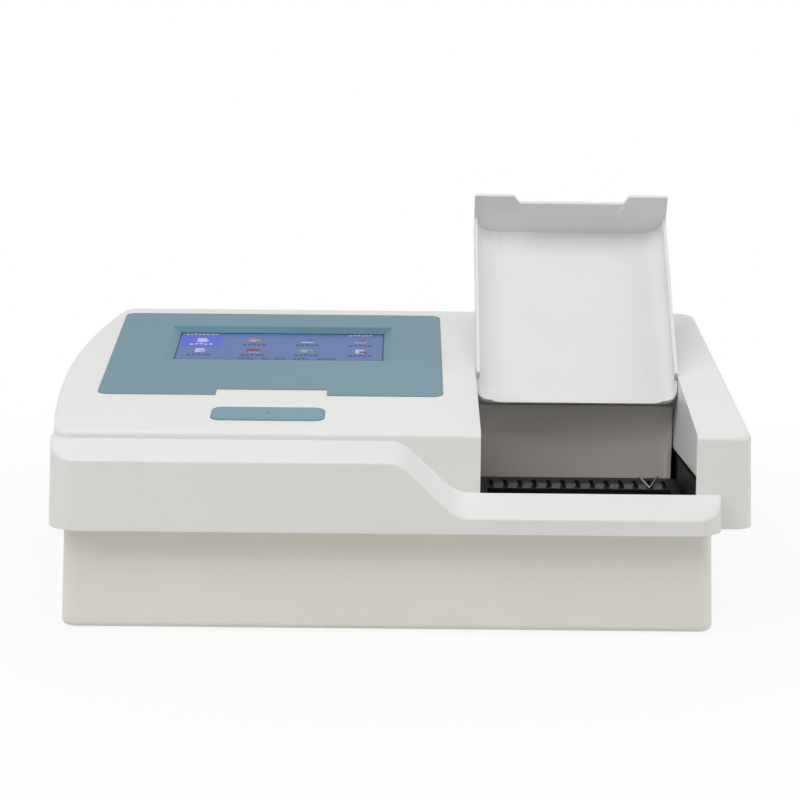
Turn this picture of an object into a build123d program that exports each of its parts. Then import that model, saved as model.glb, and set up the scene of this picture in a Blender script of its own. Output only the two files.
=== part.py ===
from build123d import *
import os
from math import asin, cos, radians, sin, sqrt, tan

# Bench microplate reader: a wide moulded cover over a recessed base, a tinted display panel with one
# oblong key, and at the right a plate well under a lid that is hinged at its back edge. A carrier takes
# the plate from the well leftwards under an eight-channel optical head.
#
# Frame: millimetres, +X to the operator's right, +Y to the back, +Z up. The origin is on the bench,
# under the middle of the cover's rim. The lid is drawn open, leaning back on its stop.

# ---------------------------------------------------------------- housing
COVER_WIDTH = 478.0         # over the cover's rim
COVER_DEPTH = 363.0
RIM_Z = 72.3                # underside of the cover's rim above the bench
COVER_WALL = 2.8
DRAFT = 2.0                 # degrees, on every moulded outer wall
TOP_SLOPE = 3.6             # degrees, the top climbs to the back
PLATFORM_Z = 135.6          # top face at its front edge
LEDGE_DEPTH = 20.0          # bevelled ledge in front of the platform
LEDGE_HIGH = (119.0, 130.2) # ledge's front and back heights on the left
LEDGE_LOW = (82.6, 95.7)    # and beside the plate well
SWOOP_MID_X = 21.7          # where the ledge drops from high to low
SWOOP_ANGLE = 43.0          # degrees, steepest part of the drop
SWOOP_RADIUS = 22.0
SIDE_BULGE_Y = 165.0        # widest place of the left side, from the front
SIDE_FRONT_IN = 11.9        # how far the left side comes in by the front
SIDE_BACK_IN = 26.0         # and by the back
RIGHT_BACK_IN = 7.2         # how far the right side comes in by the back
ARM_WIDTH = 39.0            # cover to the right of the well, at the rim
LEDGE_END_IN = 21.5         # ledge stops this far short of the right side
CORNER_FRONT = 21.0
CORNER_PLATFORM = 15.0
CORNER_BACK = 18.0
CORNER_ARM = 12.0
EDGE_ROUND = 4.0            # soft outer edge of the top
LEDGE_ROUND = 2.4
SEAT_GAP = 0.3              # between pieces that only lie beside each other

BASE_FRONT_IN = 13.0        # base walls stand back from the cover's rim
BASE_LEFT_IN = 14.5
BASE_RIGHT_IN = 25.5
BASE_BACK_IN = 13.0
BASE_WALL = 3.0
BASE_FLOOR = 3.0
BASE_CORNER = 10.0
BASE_BACK_LEFT_IN = 2.0     # and from the cover's back left corner
BASE_BEND = 150.0           # radius where the left wall turns inwards
BASE_FOOT_ROUND = 4.0       # soft lower edge of the base
FOOT_STAND = 2.0            # base floor above the bench
FOOT_RADIUS = 9.0
FOOT_SINK = 1.5             # foot let into the floor
FLANGE_UP = 1.0             # base flange above the cover's rim
FLANGE_THICK = 2.5

# ---------------------------------------------------------------- plate well and lid
WELL_WIDTH = 144.0
SKIRT_WALL = 2.5
SKIRT_FRONT_Z = 108.0       # lower edge of the well's side skirts, front and back
SKIRT_BACK_Z = 88.0
WELL_CORNER = 7.0
HINGE_FROM_FRONT = 176.6    # hinge axis behind the cover's front
HINGE_BELOW = 4.5           # hinge axis under the top face
HINGE_PIN_RADIUS = 1.6
PIN_CLEARANCE = 0.05
LID_TAIL = 19.2             # lid behind its hinge
LID_TAIL_GAP = 1.1          # its lower corner swings a little further back than it stands
LID_CORNER = 14.0
LID_SIDE_GAP = 0.3
LID_FRONT_GAP = 0.6
LID_WALL = 2.4
LID_SIDE_DEPTH = 16.7
LID_FRONT_DEPTH = 39.0
LID_COVE = 9.0              # soft corner where the lid's side walls meet its roof
LID_EDGE_ROUND = 1.5
LID_TAIL_LIP = 1.0          # what is left of the side walls along the lid's back edge
FINGER_WIDTH = (81.0, 67.0) # finger recess in the lid's front wall, at its free edge and at its top
FINGER_DEPTH = 7.6
FINGER_RISE = 22.0
LID_OPEN = 148.5            # degrees, closed to open

# ---------------------------------------------------------------- display and key
PANEL_FROM_LEFT = 30.4      # from the widest place of the left side
PANEL_WIDTH = 240.5
PANEL_FROM_FRONT = 111.0
PANEL_DEPTH = 230.0
PANEL_CORNER = 8.0
PANEL_THICK = 2.0
PANEL_PROUD = 0.4
PANEL_NOTCH = (82.3, 77.5, 14.5)    # notch in the front edge: from the left, width, depth
SCREEN_FROM_LEFT = 45.0     # glass inside the panel
SCREEN_FROM_FRONT = 100.0
SCREEN_WIDTH = 153.0
SCREEN_DEPTH = 85.5
SCREEN_BEVEL = 6.0
SCREEN_SINK = 3.8           # glass below the panel's face
GLASS_THICK = 1.1
MODULE_BORDER = 6.0
MODULE_THICK = 5.5
KEY_WIDTH = 76.5
KEY_DEPTH = 31.0
KEY_FROM_FRONT = 48.5
KEY_CORNER = 7.0
KEY_PROUD = 0.8
KEY_GAP = 0.35
KEY_FLANGE = (2.0, 1.0)     # retaining flange: reach and thickness
KEY_STEM = (4.0, 3.0)       # radius and length
KEY_TRAVEL = 1.2

# ---------------------------------------------------------------- plate carrier and its drive
PLATE_SIZE = (127.76, 85.48)    # standard microplate footprint
PLATE_SEAT_GAP = 0.4
PLATE_SEAT_DEPTH = 6.0
PLATE_HEIGHT = 14.35
WELL_PITCH = 9.0
CARRIER_TOP = 74.0
CARRIER_THICK = 14.0
CARRIER_SIDE_GAP = 1.5
CARRIER_FROM_FRONT = 30.0
CARRIER_DEPTH = 126.0
CARRIER_RIM = 5.0           # frame in front of the plate
LIGHT_WINDOW = (112.0, 76.0)
CARRIER_TRAVEL = 160.0
COMB_SLOT = (3.0, 24.0, 3.0) # width, length and depth
COMB_COUNT = 13
COMB_PITCH = 10.2
COMB_INSET = 8.5            # comb's slots in front of the carrier's back edge
SPRING_WIRE = 0.8
SPRING_ARM = (6.5, 12.0, 5.0)   # each arm's reach across, back and up
SPRING_FROM_RIGHT = 22.0
ROD_RADIUS = 4.0
ROD_Z = 53.0
ROD_INSET = 10.5            # rod axes inside the carrier's front and back edges
BUSH_WALL = 2.0
BUSH_LENGTH = 16.0
BUSH_SPREAD = 104.0
RUN_CLEARANCE = 0.05
PULLEY_RADIUS = 7.0
PULLEY_Z = 49.5
PULLEY_WIDTH = 8.0
BELT_THICK = 1.4
BELT_WIDTH = 6.0
BELT_INSET = 25.0           # belt's middle in front of the carrier's back edge
MOTOR_SIZE = 42.0
MOTOR_LENGTH = 38.0
MOTOR_FROM_RODS = 26.0      # motor shaft to the left of the rods
IDLER_INSET = 12.0          # idler shaft inside the well's right side
ROD_RUN_OUT = 36.0          # rods beyond the carrier's left end at full travel
TRAY_FLOOR_Z = 36.0
TRAY_WALL = 2.0
TRAY_REACH = 14.0           # tray to the left of the well

# ---------------------------------------------------------------- chassis, optics and electronics
CHASSIS_Z = 9.0
CHASSIS_THICK = 2.0
HEAD_CHANNELS = 8
FILTER_WHEEL_RADIUS = 28.0
FILTER_RING_RADIUS = 20.0
FILTER_RADIUS = 5.5
FILTER_COUNT = 8
WHEEL_FROM_HEAD = (12.5, 61.5)  # to the right of the head, and behind the carrier
WHEEL_Z = 92.0
WHEEL_THICK = 4.0
LAMP_BOX = (44.0, 66.0, 50.0)
FAN_SIZE = 60.0
FAN_THICK = 15.0
FAN_FROM_RIGHT = 119.0
FAN_Z = 40.0
INLET_FROM_LEFT = 54.0
INLET_Z = 34.0
INLET_BODY = (27.0, 20.0)
SWITCH_FROM_LEFT = 94.0
SWITCH_BODY = (21.0, 15.0)
SWITCH_TILT = 10.0          # degrees the rocker turns
SWITCH_PIN_RADIUS = 1.2
PORTS_FROM_LEFT = 179.0
PORT_Z = 26.0
PORT_BODY = (13.0, 12.0)
SERIAL_BODY = (31.0, 12.5)
SERIAL_FROM_PORT = 40.0
BOARD_SIZE = (145.0, 76.0)
BOARD_FROM = (19.5, 23.5)   # inside the base's left wall, and behind the carrier's front
SUPPLY_SIZE = (100.0, 96.0, 38.0)
SUPPLY_FROM = (20.5, 32.5)  # inside the base's left wall and its back wall
PCB_THICK = 1.6

# ---------------------------------------------------------------- places worked out from the sizes
X_LEFT, X_RIGHT = -COVER_WIDTH / 2, COVER_WIDTH / 2
Y_FRONT, Y_BACK = -COVER_DEPTH / 2, COVER_DEPTH / 2
Y_STEP = Y_FRONT + LEDGE_DEPTH
WELL_X1 = X_RIGHT - ARM_WIDTH
WELL_X0 = WELL_X1 - WELL_WIDTH
WELL_MID = (WELL_X0 + WELL_X1) / 2
SLOPE = tan(radians(TOP_SLOPE))
HINGE_Y = Y_FRONT + HINGE_FROM_FRONT


def top_z(y):
    """Height of the cover's top face at a place along Y."""
    return PLATFORM_Z + SLOPE * (y - Y_STEP)


HINGE_Z = top_z(HINGE_Y) - HINGE_BELOW
WELL_Y1 = HINGE_Y + LID_TAIL + LID_TAIL_GAP
TOP_PLANE = Plane(origin=(0, Y_STEP, PLATFORM_Z), x_dir=(1, 0, 0),
                  z_dir=(0, -sin(radians(TOP_SLOPE)), cos(radians(TOP_SLOPE))))
CARRIER_Y0 = Y_FRONT + CARRIER_FROM_FRONT
CARRIER_Y1 = CARRIER_Y0 + CARRIER_DEPTH
CARRIER_Z0 = CARRIER_TOP - CARRIER_THICK
PLATE_Y = CARRIER_Y0 + CARRIER_RIM + (PLATE_SIZE[1] + 2 * PLATE_SEAT_GAP) / 2
HEAD_X = WELL_MID - CARRIER_TRAVEL + 5.5 * WELL_PITCH
WHEEL_X = HEAD_X + WHEEL_FROM_HEAD[0]
WHEEL_Y = CARRIER_Y1 + WHEEL_FROM_HEAD[1]
ROD_X0 = WELL_X0 - CARRIER_TRAVEL - ROD_RUN_OUT
ROD_X1 = WELL_X1 + 1.0
MOTOR_X = ROD_X0 - MOTOR_FROM_RODS
IDLER_X = WELL_X1 - IDLER_INSET
BACK_WALL_Y = Y_BACK - BASE_BACK_IN
FAN_X = X_RIGHT - FAN_FROM_RIGHT
INLET_X = X_LEFT + INLET_FROM_LEFT
SWITCH_X = X_LEFT + SWITCH_FROM_LEFT
PORTS_X = X_LEFT + PORTS_FROM_LEFT
SERIAL_X = PORTS_X + SERIAL_FROM_PORT
BELT_Y = CARRIER_Y1 - BELT_INSET
CHASSIS_TOP = CHASSIS_Z + CHASSIS_THICK
BASE_TOP = RIM_Z + FLANGE_UP
RETURN_Z = LEDGE_LOW[1] - 16.0
KEY_THICK = KEY_PROUD + COVER_WALL + SEAT_GAP


def on_top(y_from_front):
    """Distance up the sloped top plane, from the platform's front edge."""
    return (y_from_front - LEDGE_DEPTH) / cos(radians(TOP_SLOPE))


def block(x0, x1, y0, y1, z0, z1):
    """Box between two corners."""
    size = (x1 - x0, y1 - y0, z1 - z0)
    return Pos((x0 + x1) / 2, (y0 + y1) / 2, (z0 + z1) / 2) * Box(*size)


def disc(centre, radius, length, axis="Z"):
    """Cylinder about its centre, along X, Y or Z."""
    turn = {"X": Rot(0, 90, 0), "Y": Rot(90, 0, 0), "Z": Rot(0, 0, 0)}[axis]
    return Pos(*centre) * turn * Cylinder(radius, length)


def ring(centre, outer, inner, length, axis="Z"):
    return disc(centre, outer, length, axis) - disc(centre, inner, length + 1, axis)


# ---------------------------------------------------------------- top cover
SIDE_RADIUS = (SIDE_BULGE_Y ** 2 + SIDE_FRONT_IN ** 2) / (2 * SIDE_FRONT_IN)
WIDEST = (X_LEFT, Y_FRONT + SIDE_BULGE_Y)


def left_side_x(y):
    """The left side's X in front of its widest place."""
    return X_LEFT + SIDE_RADIUS - sqrt(SIDE_RADIUS ** 2 - (y - WIDEST[1]) ** 2)


def outline(points, radii):
    """Closed plan with round corners: an arc down the left side, then straight runs between points."""
    with BuildSketch() as plan:
        with BuildLine():
            TangentArc(WIDEST, points[0], tangent=(0, -1))
            Polyline(*points)
            TangentArc(WIDEST, points[-1], tangent=(0, 1))
        make_face()
        for point, radius in radii:
            corner = plan.vertices().sort_by_distance((point[0], point[1], 0))[0]
            fillet(corner, radius)
    return plan.sketch


def platform_outline():
    """Plan of everything behind the ledge: platform, well surround and arm."""
    front_left = (left_side_x(Y_STEP), Y_STEP)
    arm_right = (X_RIGHT, Y_STEP)
    back_right = (X_RIGHT - RIGHT_BACK_IN, Y_BACK)
    back_left = (X_LEFT + SIDE_BACK_IN, Y_BACK)
    return outline([front_left, arm_right, back_right, back_left],
                   [(front_left, CORNER_PLATFORM), (arm_right, CORNER_ARM),
                    (back_right, CORNER_BACK), (back_left, CORNER_BACK)])


def ledge_outline():
    """Plan of the ledge, reaching back into the platform."""
    front_left = (left_side_x(Y_FRONT), Y_FRONT)
    ledge_right = (X_RIGHT - LEDGE_END_IN, Y_FRONT)
    back_y = Y_STEP + CORNER_PLATFORM + 4
    with BuildSketch() as plan:
        with BuildLine():
            arc = TangentArc((left_side_x(back_y), back_y), front_left, tangent=(
                -(WIDEST[1] - back_y), -(SIDE_RADIUS - (left_side_x(back_y) - X_LEFT))))
            Polyline(front_left, ledge_right, (ledge_right[0], back_y), arc @ 0)
        make_face()
        for point, radius in ((front_left, CORNER_FRONT), (ledge_right, LEDGE_DEPTH - 0.5)):
            corner = plan.vertices().sort_by_distance((point[0], point[1], 0))[0]
            fillet(corner, radius)
    return plan.sketch


def cover_outline(inset=0.0):
    """Plan of the whole cover at its rim."""
    whole = platform_outline() + ledge_outline()
    return offset(whole, -inset, kind=Kind.INTERSECTION) if inset else whole


def swoop_section(y, share, lower=0.0):
    """Region above the ledge's S-curve, standing across the cover at y."""
    high = LEDGE_HIGH[0] + (LEDGE_HIGH[1] - LEDGE_HIGH[0]) * share - lower
    low = LEDGE_LOW[0] + (LEDGE_LOW[1] - LEDGE_LOW[0]) * share - lower
    half_run = (high - low) / tan(radians(SWOOP_ANGLE)) / 2
    left, right = SWOOP_MID_X - half_run, SWOOP_MID_X + half_run
    far, sky = COVER_WIDTH, PLATFORM_Z + COVER_DEPTH
    with BuildSketch(Plane(origin=(0, y, 0), x_dir=(1, 0, 0), z_dir=(0, -1, 0))) as section:
        with BuildLine():
            FilletPolyline((-far, high), (left, high), (right, low), (far, low), radius=SWOOP_RADIUS)
            Polyline((far, low), (far, sky), (-far, sky), (-far, high))
        make_face()
    return section.sketch.faces()[0]


def ledge_cut(lower=0.0):
    """What is taken away above the ledge."""
    start = Y_FRONT - 4.0
    slope = Solid.make_loft([swoop_section(start, (start - Y_FRONT) / LEDGE_DEPTH, lower).outer_wire(),
                             swoop_section(Y_STEP, 1.0, lower).outer_wire()], ruled=True)
    return slope + extrude(swoop_section(Y_STEP, 1.0, lower), -COVER_DEPTH / 2)


def platform_form(inset=0.0):
    """Platform's outer form, or the form of its inside when inset by the wall."""
    plan = platform_outline()
    plan = offset(plan, -inset, kind=Kind.INTERSECTION) if inset else plan
    body = extrude(Pos(0, 0, RIM_Z) * plan, top_z(Y_BACK) + 5 - RIM_Z, taper=DRAFT)
    roof = TOP_PLANE.offset(-inset) * Pos(0, COVER_DEPTH / 2, 50) * Box(2 * COVER_WIDTH, 3 * COVER_DEPTH, 100)
    return body - roof


def ledge_form(inset=0.0):
    plan = ledge_outline()
    plan = offset(plan, -inset, kind=Kind.INTERSECTION) if inset else plan
    body = extrude(Pos(0, 0, RIM_Z) * plan, PLATFORM_Z - RIM_Z, taper=DRAFT)
    return body - ledge_cut(inset * 1.15)


def ledge_nose(body):
    """Edges where the ledge's bevel meets its front wall."""
    front = [e for e in body.edges() if min((e @ 0).Y, (e @ 1).Y) < Y_STEP - 1
             and min((e @ 0).Z, (e @ 1).Z) > RIM_Z + 1 and e.geom_type != GeomType.LINE]
    return ShapeList(e for e in front if abs((e @ 0).X - (e @ 1).X) > 10)


def top_edges(body):
    """Edges round the sloped top face."""
    return body.faces().sort_by(Axis.Z)[-1].edges()


def well_space(grow=0.0, floor=0.0):
    """The well's opening through the cover, with round back corners."""
    x0, x1, y1 = WELL_X0 - grow, WELL_X1 + grow, WELL_Y1 + grow
    y0 = Y_STEP - grow
    back = WELL_CORNER + grow
    plan = Pos((x0 + x1) / 2, (y0 + y1) / 2) * Rectangle(x1 - x0, y1 - y0)
    corners = plan.vertices().group_by(Axis.Y)[-1]
    return extrude(Pos(0, 0, floor) * fillet(corners, back), 200 - floor)


def skirt_trim():
    """Everything under the well's skirts, whose lower edge falls towards the back, and under its front wall."""
    far = COVER_WIDTH
    y0, y1 = Y_STEP + 0.01, WELL_Y1 + SKIRT_WALL + 1
    fall = (SKIRT_BACK_Z - SKIRT_FRONT_Z) / (WELL_Y1 - Y_STEP)
    with BuildSketch(Plane.YZ) as side:
        with BuildLine():
            Polyline((y0, 0), (y1, 0), (y1, SKIRT_FRONT_Z + fall * (y1 - y0)), (y0, SKIRT_FRONT_Z), close=True)
        make_face()
    width = WELL_WIDTH + 4 * SKIRT_WALL
    front = block(WELL_MID - width / 2, WELL_MID + width / 2, Y_STEP - 2 * SKIRT_WALL, y0, 0, RETURN_Z)
    return extrude(Pos(WELL_MID, 0, 0) * side.sketch, width / 2, both=True) + front


def panel_plan(shrink=0.0):
    """Display panel's outline on the sloped top, with the notch in its front edge."""
    left = X_LEFT + PANEL_FROM_LEFT + PANEL_WIDTH / 2
    middle = on_top(PANEL_FROM_FRONT) + PANEL_DEPTH / 2
    sheet = Pos(left, middle) * Rectangle(PANEL_WIDTH - 2 * shrink, PANEL_DEPTH - 2 * shrink)
    sheet = fillet(sheet.vertices(), PANEL_CORNER)
    from_left, width, depth = PANEL_NOTCH
    notch_x = X_LEFT + PANEL_FROM_LEFT + from_left + width / 2
    notch = Pos(notch_x, on_top(PANEL_FROM_FRONT) + shrink) * Rectangle(width + 2 * shrink, 2 * depth)
    return sheet - notch


def key_plan(grow=0.0):
    from_left, width, _ = PANEL_NOTCH
    x = X_LEFT + PANEL_FROM_LEFT + from_left + width / 2
    y = on_top(KEY_FROM_FRONT) + KEY_DEPTH / 2
    return Pos(x, y) * RectangleRounded(KEY_WIDTH + 2 * grow, KEY_DEPTH + 2 * grow, KEY_CORNER + grow)


def screen_place():
    x = X_LEFT + PANEL_FROM_LEFT + SCREEN_FROM_LEFT + SCREEN_WIDTH / 2
    y = on_top(PANEL_FROM_FRONT) + SCREEN_FROM_FRONT + SCREEN_DEPTH / 2
    return Pos(x, y)


def top_cover():
    platform = platform_form()
    platform = fillet(top_edges(platform), EDGE_ROUND)
    ledge = ledge_form()
    ledge = fillet(ledge_nose(ledge), LEDGE_ROUND)
    outer = platform + ledge
    inside = platform_form(COVER_WALL) + ledge_form(COVER_WALL)
    cavity = (inside - well_space(SKIRT_WALL)) + (skirt_trim() & inside)
    body = outer - cavity - well_space()
    seat = TOP_PLANE.offset(PANEL_PROUD - PANEL_THICK) * extrude(panel_plan(-0.15), 10)
    body -= seat
    window = extrude(Rectangle(SCREEN_WIDTH + 2 * MODULE_BORDER + 1, SCREEN_DEPTH + 2 * MODULE_BORDER + 1), -30)
    body -= TOP_PLANE * screen_place() * window
    body -= TOP_PLANE.offset(-10) * extrude(key_plan(KEY_GAP), 20)
    for side in (WELL_X0 - SKIRT_WALL / 2, WELL_X1 + SKIRT_WALL / 2):
        body -= disc((side, HINGE_Y, HINGE_Z), HINGE_PIN_RADIUS + PIN_CLEARANCE, SKIRT_WALL + 1, "X")
    return body


# ---------------------------------------------------------------- base
def base_plan(inset=0.0):
    """Plan of the base box; its left wall comes in towards the back, as the cover does."""
    x0, x1 = X_LEFT + BASE_LEFT_IN, X_RIGHT - BASE_RIGHT_IN
    y0, y1 = Y_FRONT + BASE_FRONT_IN, BACK_WALL_Y
    bend, back_left = (x0, WIDEST[1]), (X_LEFT + SIDE_BACK_IN + BASE_BACK_LEFT_IN, y1)
    corners = [(x0, y0), (x1, y0), (x1, y1), back_left]
    with BuildSketch() as plan:
        with BuildLine():
            Polyline(*corners, bend, close=True)
        make_face()
        for point, radius in [(corner, BASE_CORNER) for corner in corners] + [(bend, BASE_BEND)]:
            fillet(plan.vertices().sort_by_distance((point[0], point[1], 0))[0], radius)
    return offset(plan.sketch, -inset, kind=Kind.INTERSECTION) if inset else plan.sketch


def base_form(inset=0.0):
    z0 = FOOT_STAND + (BASE_FLOOR if inset else 0.0)
    body = extrude(Pos(0, 0, z0) * base_plan(inset), BASE_TOP + FLANGE_THICK - z0, taper=DRAFT)
    return body if inset else fillet(body.faces().sort_by(Axis.Z)[0].edges(), BASE_FOOT_ROUND)


FOOT_PLACES = [(X_LEFT + BASE_LEFT_IN + 30, Y_FRONT + BASE_FRONT_IN + 28),
               (X_RIGHT - BASE_RIGHT_IN - 30, Y_FRONT + BASE_FRONT_IN + 28),
               (X_LEFT + BASE_LEFT_IN + 30, Y_BACK - BASE_BACK_IN - 28),
               (X_RIGHT - BASE_RIGHT_IN - 30, Y_BACK - BASE_BACK_IN - 28)]


def back_opening(x, z, width, height):
    """Cut through the base's back wall."""
    hole = Plane.XZ * Rectangle(width, height)
    return Pos(x, BACK_WALL_Y + 10, z) * extrude(hole, 30)


def lower_housing():
    shell = base_form() - base_form(BASE_WALL)
    flange = extrude(Pos(0, 0, BASE_TOP) * cover_outline(COVER_WALL + 0.6), FLANGE_THICK)
    flange -= base_form(BASE_WALL)
    body = shell + flange
    for x, y in FOOT_PLACES:
        body -= disc((x, y, FOOT_STAND + FOOT_SINK / 2), FOOT_RADIUS, FOOT_SINK)
        body += disc((x, y, (FOOT_STAND + BASE_FLOOR + CHASSIS_Z) / 2), 6, CHASSIS_Z - FOOT_STAND - BASE_FLOOR)
    body -= back_opening(INLET_X, INLET_Z, INLET_BODY[0] + 0.3, INLET_BODY[1] + 0.3)
    body -= back_opening(SWITCH_X, INLET_Z, SWITCH_BODY[0] + 0.3, SWITCH_BODY[1] + 0.3)
    body -= back_opening(PORTS_X, PORT_Z, PORT_BODY[0] + 0.3, PORT_BODY[1] + 0.3)
    body -= back_opening(SERIAL_X, PORT_Z, SERIAL_BODY[0] + 0.3, SERIAL_BODY[1] + 0.3)
    for turn in range(-4, 5):
        half = sqrt((FAN_SIZE / 2 - 3) ** 2 - (turn * 5.6) ** 2)
        body -= back_opening(FAN_X, FAN_Z + turn * 5.6, 2 * half, 3.0)
    return body


def feet():
    return [disc((x, y, (FOOT_STAND + FOOT_SINK) / 2), FOOT_RADIUS - 0.1, FOOT_STAND + FOOT_SINK)
            for x, y in FOOT_PLACES]


def chassis_plate():
    return extrude(Pos(0, 0, CHASSIS_Z) * base_plan(BASE_WALL + 6), CHASSIS_THICK)


# ---------------------------------------------------------------- lid
def lid_length():
    return (HINGE_Y - Y_STEP - LID_FRONT_GAP) / cos(radians(TOP_SLOPE))


def lid_plan(inset, front):
    """Outline of the lid in its own frame: hinge at the origin, front along -Y."""
    half = WELL_WIDTH / 2 - LID_SIDE_GAP - inset
    y0, y1 = -lid_length() + front, LID_TAIL - inset
    plan = Pos(0, (y0 + y1) / 2) * Rectangle(2 * half, y1 - y0)
    rear = fillet(plan.vertices().group_by(Axis.Y)[-1], LID_CORNER - inset)
    return fillet(rear.vertices().group_by(Axis.Y)[0], 3.0)


LID_AT_REST = Pos(WELL_MID, HINGE_Y, HINGE_Z) * Rot(TOP_SLOPE - LID_OPEN, 0, 0)


def finger_wedge(behind):
    """Wedge that sinks into the lid's front wall towards its free edge, behind it by that much."""
    front, foot = -lid_length(), HINGE_BELOW - LID_FRONT_DEPTH
    sections = []
    for width, sink, z in ((FINGER_WIDTH[0], FINGER_DEPTH, foot), (FINGER_WIDTH[1], 0.0, foot + FINGER_RISE)):
        y0, y1 = front - 1.0 * (behind == 0), front + sink + behind
        sections.append(Pos(0, (y0 + y1) / 2, z) * Rectangle(width + 2 * behind, y1 - y0))
    return loft(sections, ruled=True)


def lid():
    top, length = HINGE_BELOW, lid_length()
    half = WELL_WIDTH / 2 - LID_SIDE_GAP
    tray = extrude(Pos(0, 0, top) * lid_plan(0, 0), -LID_SIDE_DEPTH)
    tray = fillet(tray.faces().sort_by(Axis.Z)[-1].edges(), LID_EDGE_ROUND)
    hollow = extrude(Pos(0, 0, top - LID_WALL) * lid_plan(LID_WALL, -LID_FRONT_DEPTH), -LID_FRONT_DEPTH)
    hollow = fillet(hollow.edges().group_by(Axis.Z)[-1], LID_COVE)
    hollow -= block(-half, half, -2 * length, -length + LID_WALL, -LID_FRONT_DEPTH, top)
    wall = block(-half, half, -length, -length + LID_WALL, top - LID_FRONT_DEPTH, top - LID_SIDE_DEPTH + 1)
    with BuildSketch(Plane.YZ) as tail:
        with BuildLine():
            far, low = LID_TAIL + 5, top - LID_WALL - LID_TAIL_LIP
            Polyline((HINGE_BELOW, -LID_SIDE_DEPTH), (HINGE_BELOW, -HINGE_BELOW - 1), (LID_TAIL - 4, low),
                     (far, low), (far, -LID_SIDE_DEPTH), close=True)
        make_face()
    body = tray - hollow + wall + finger_wedge(LID_WALL) - finger_wedge(0) - extrude(tail.sketch, half + 1, both=True)
    for side in (-1, 1):
        x = side * (WELL_WIDTH / 2 - LID_SIDE_GAP - LID_WALL / 2)
        body += disc((x, 0, 0), HINGE_BELOW - 0.1, LID_WALL, "X")
        body -= disc((x, 0, 0), HINGE_PIN_RADIUS + 0.02, LID_WALL + 2, "X")
    return LID_AT_REST * body


def hinge_pins():
    length = LID_WALL + LID_SIDE_GAP + SKIRT_WALL
    reach = WELL_WIDTH / 2 - LID_SIDE_GAP - LID_WALL + length / 2
    return [LID_AT_REST * disc((side * reach, 0, 0), HINGE_PIN_RADIUS, length, "X") for side in (-1, 1)]


# ---------------------------------------------------------------- well linings
BACK_PANEL_Y = HINGE_Y + 13.4
PANEL_FOOT_Z = 62.0
PANEL_HEAD_Z = 119.0


def well_back_panel():
    """Pale panel that closes the well behind the carrier, with a lip under the lid's pocket."""
    x0, x1 = WELL_X0 + 1.0, WELL_X1 - 1.0
    wall = block(x0, x1, BACK_PANEL_Y, BACK_PANEL_Y + TRAY_WALL, PANEL_FOOT_Z, PANEL_HEAD_Z)
    lip = block(x0, x1, BACK_PANEL_Y, WELL_Y1 - SEAT_GAP, PANEL_HEAD_Z - TRAY_WALL, PANEL_HEAD_Z)
    return (wall + lip) & well_space(-SEAT_GAP)


TRAY_X0 = WELL_X0 - TRAY_REACH
TRAY_X1 = WELL_X1 + SKIRT_WALL + SEAT_GAP + TRAY_WALL
TRAY_Y0 = Y_STEP + 1.0
TRAY_Y1 = BACK_PANEL_Y + TRAY_WALL


def well_tray():
    """Black tray under the well, open to the left where the carrier leaves."""
    floor = block(TRAY_X0, TRAY_X1, TRAY_Y0, TRAY_Y1, TRAY_FLOOR_Z, TRAY_FLOOR_Z + TRAY_WALL)
    front = block(TRAY_X0, TRAY_X1, TRAY_Y0, TRAY_Y0 + TRAY_WALL, TRAY_FLOOR_Z, LEDGE_LOW[1] - 14)
    back = block(TRAY_X0, TRAY_X1, TRAY_Y1 - TRAY_WALL, TRAY_Y1, TRAY_FLOOR_Z, PANEL_FOOT_Z - 0.2)
    side_y0 = Y_STEP + COVER_WALL + 2.2
    right = block(TRAY_X1 - TRAY_WALL, TRAY_X1, side_y0, TRAY_Y1, TRAY_FLOOR_Z, SKIRT_FRONT_Z + 3)
    right += block(TRAY_X1 - TRAY_WALL, TRAY_X1, TRAY_Y0, side_y0, TRAY_FLOOR_Z, LEDGE_LOW[1] - 14)
    return floor + front + back + right


def tray_posts():
    places = [(TRAY_X0 + 12, TRAY_Y0 + 14), (TRAY_X1 - 14, TRAY_Y0 + 14),
              (TRAY_X0 + 12, TRAY_Y1 - 12), (TRAY_X1 - 14, TRAY_Y1 - 12)]
    height = TRAY_FLOOR_Z - CHASSIS_TOP
    return [disc((x, y, CHASSIS_TOP + height / 2), 5, height) for x, y in places]


# ---------------------------------------------------------------- carrier
ROD_YS = (CARRIER_Y0 + ROD_INSET, CARRIER_Y1 - ROD_INSET)
BUSH_XS = (WELL_MID - BUSH_SPREAD / 2, WELL_MID + BUSH_SPREAD / 2)
BUSH_OUTER = ROD_RADIUS + RUN_CLEARANCE + BUSH_WALL


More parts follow.
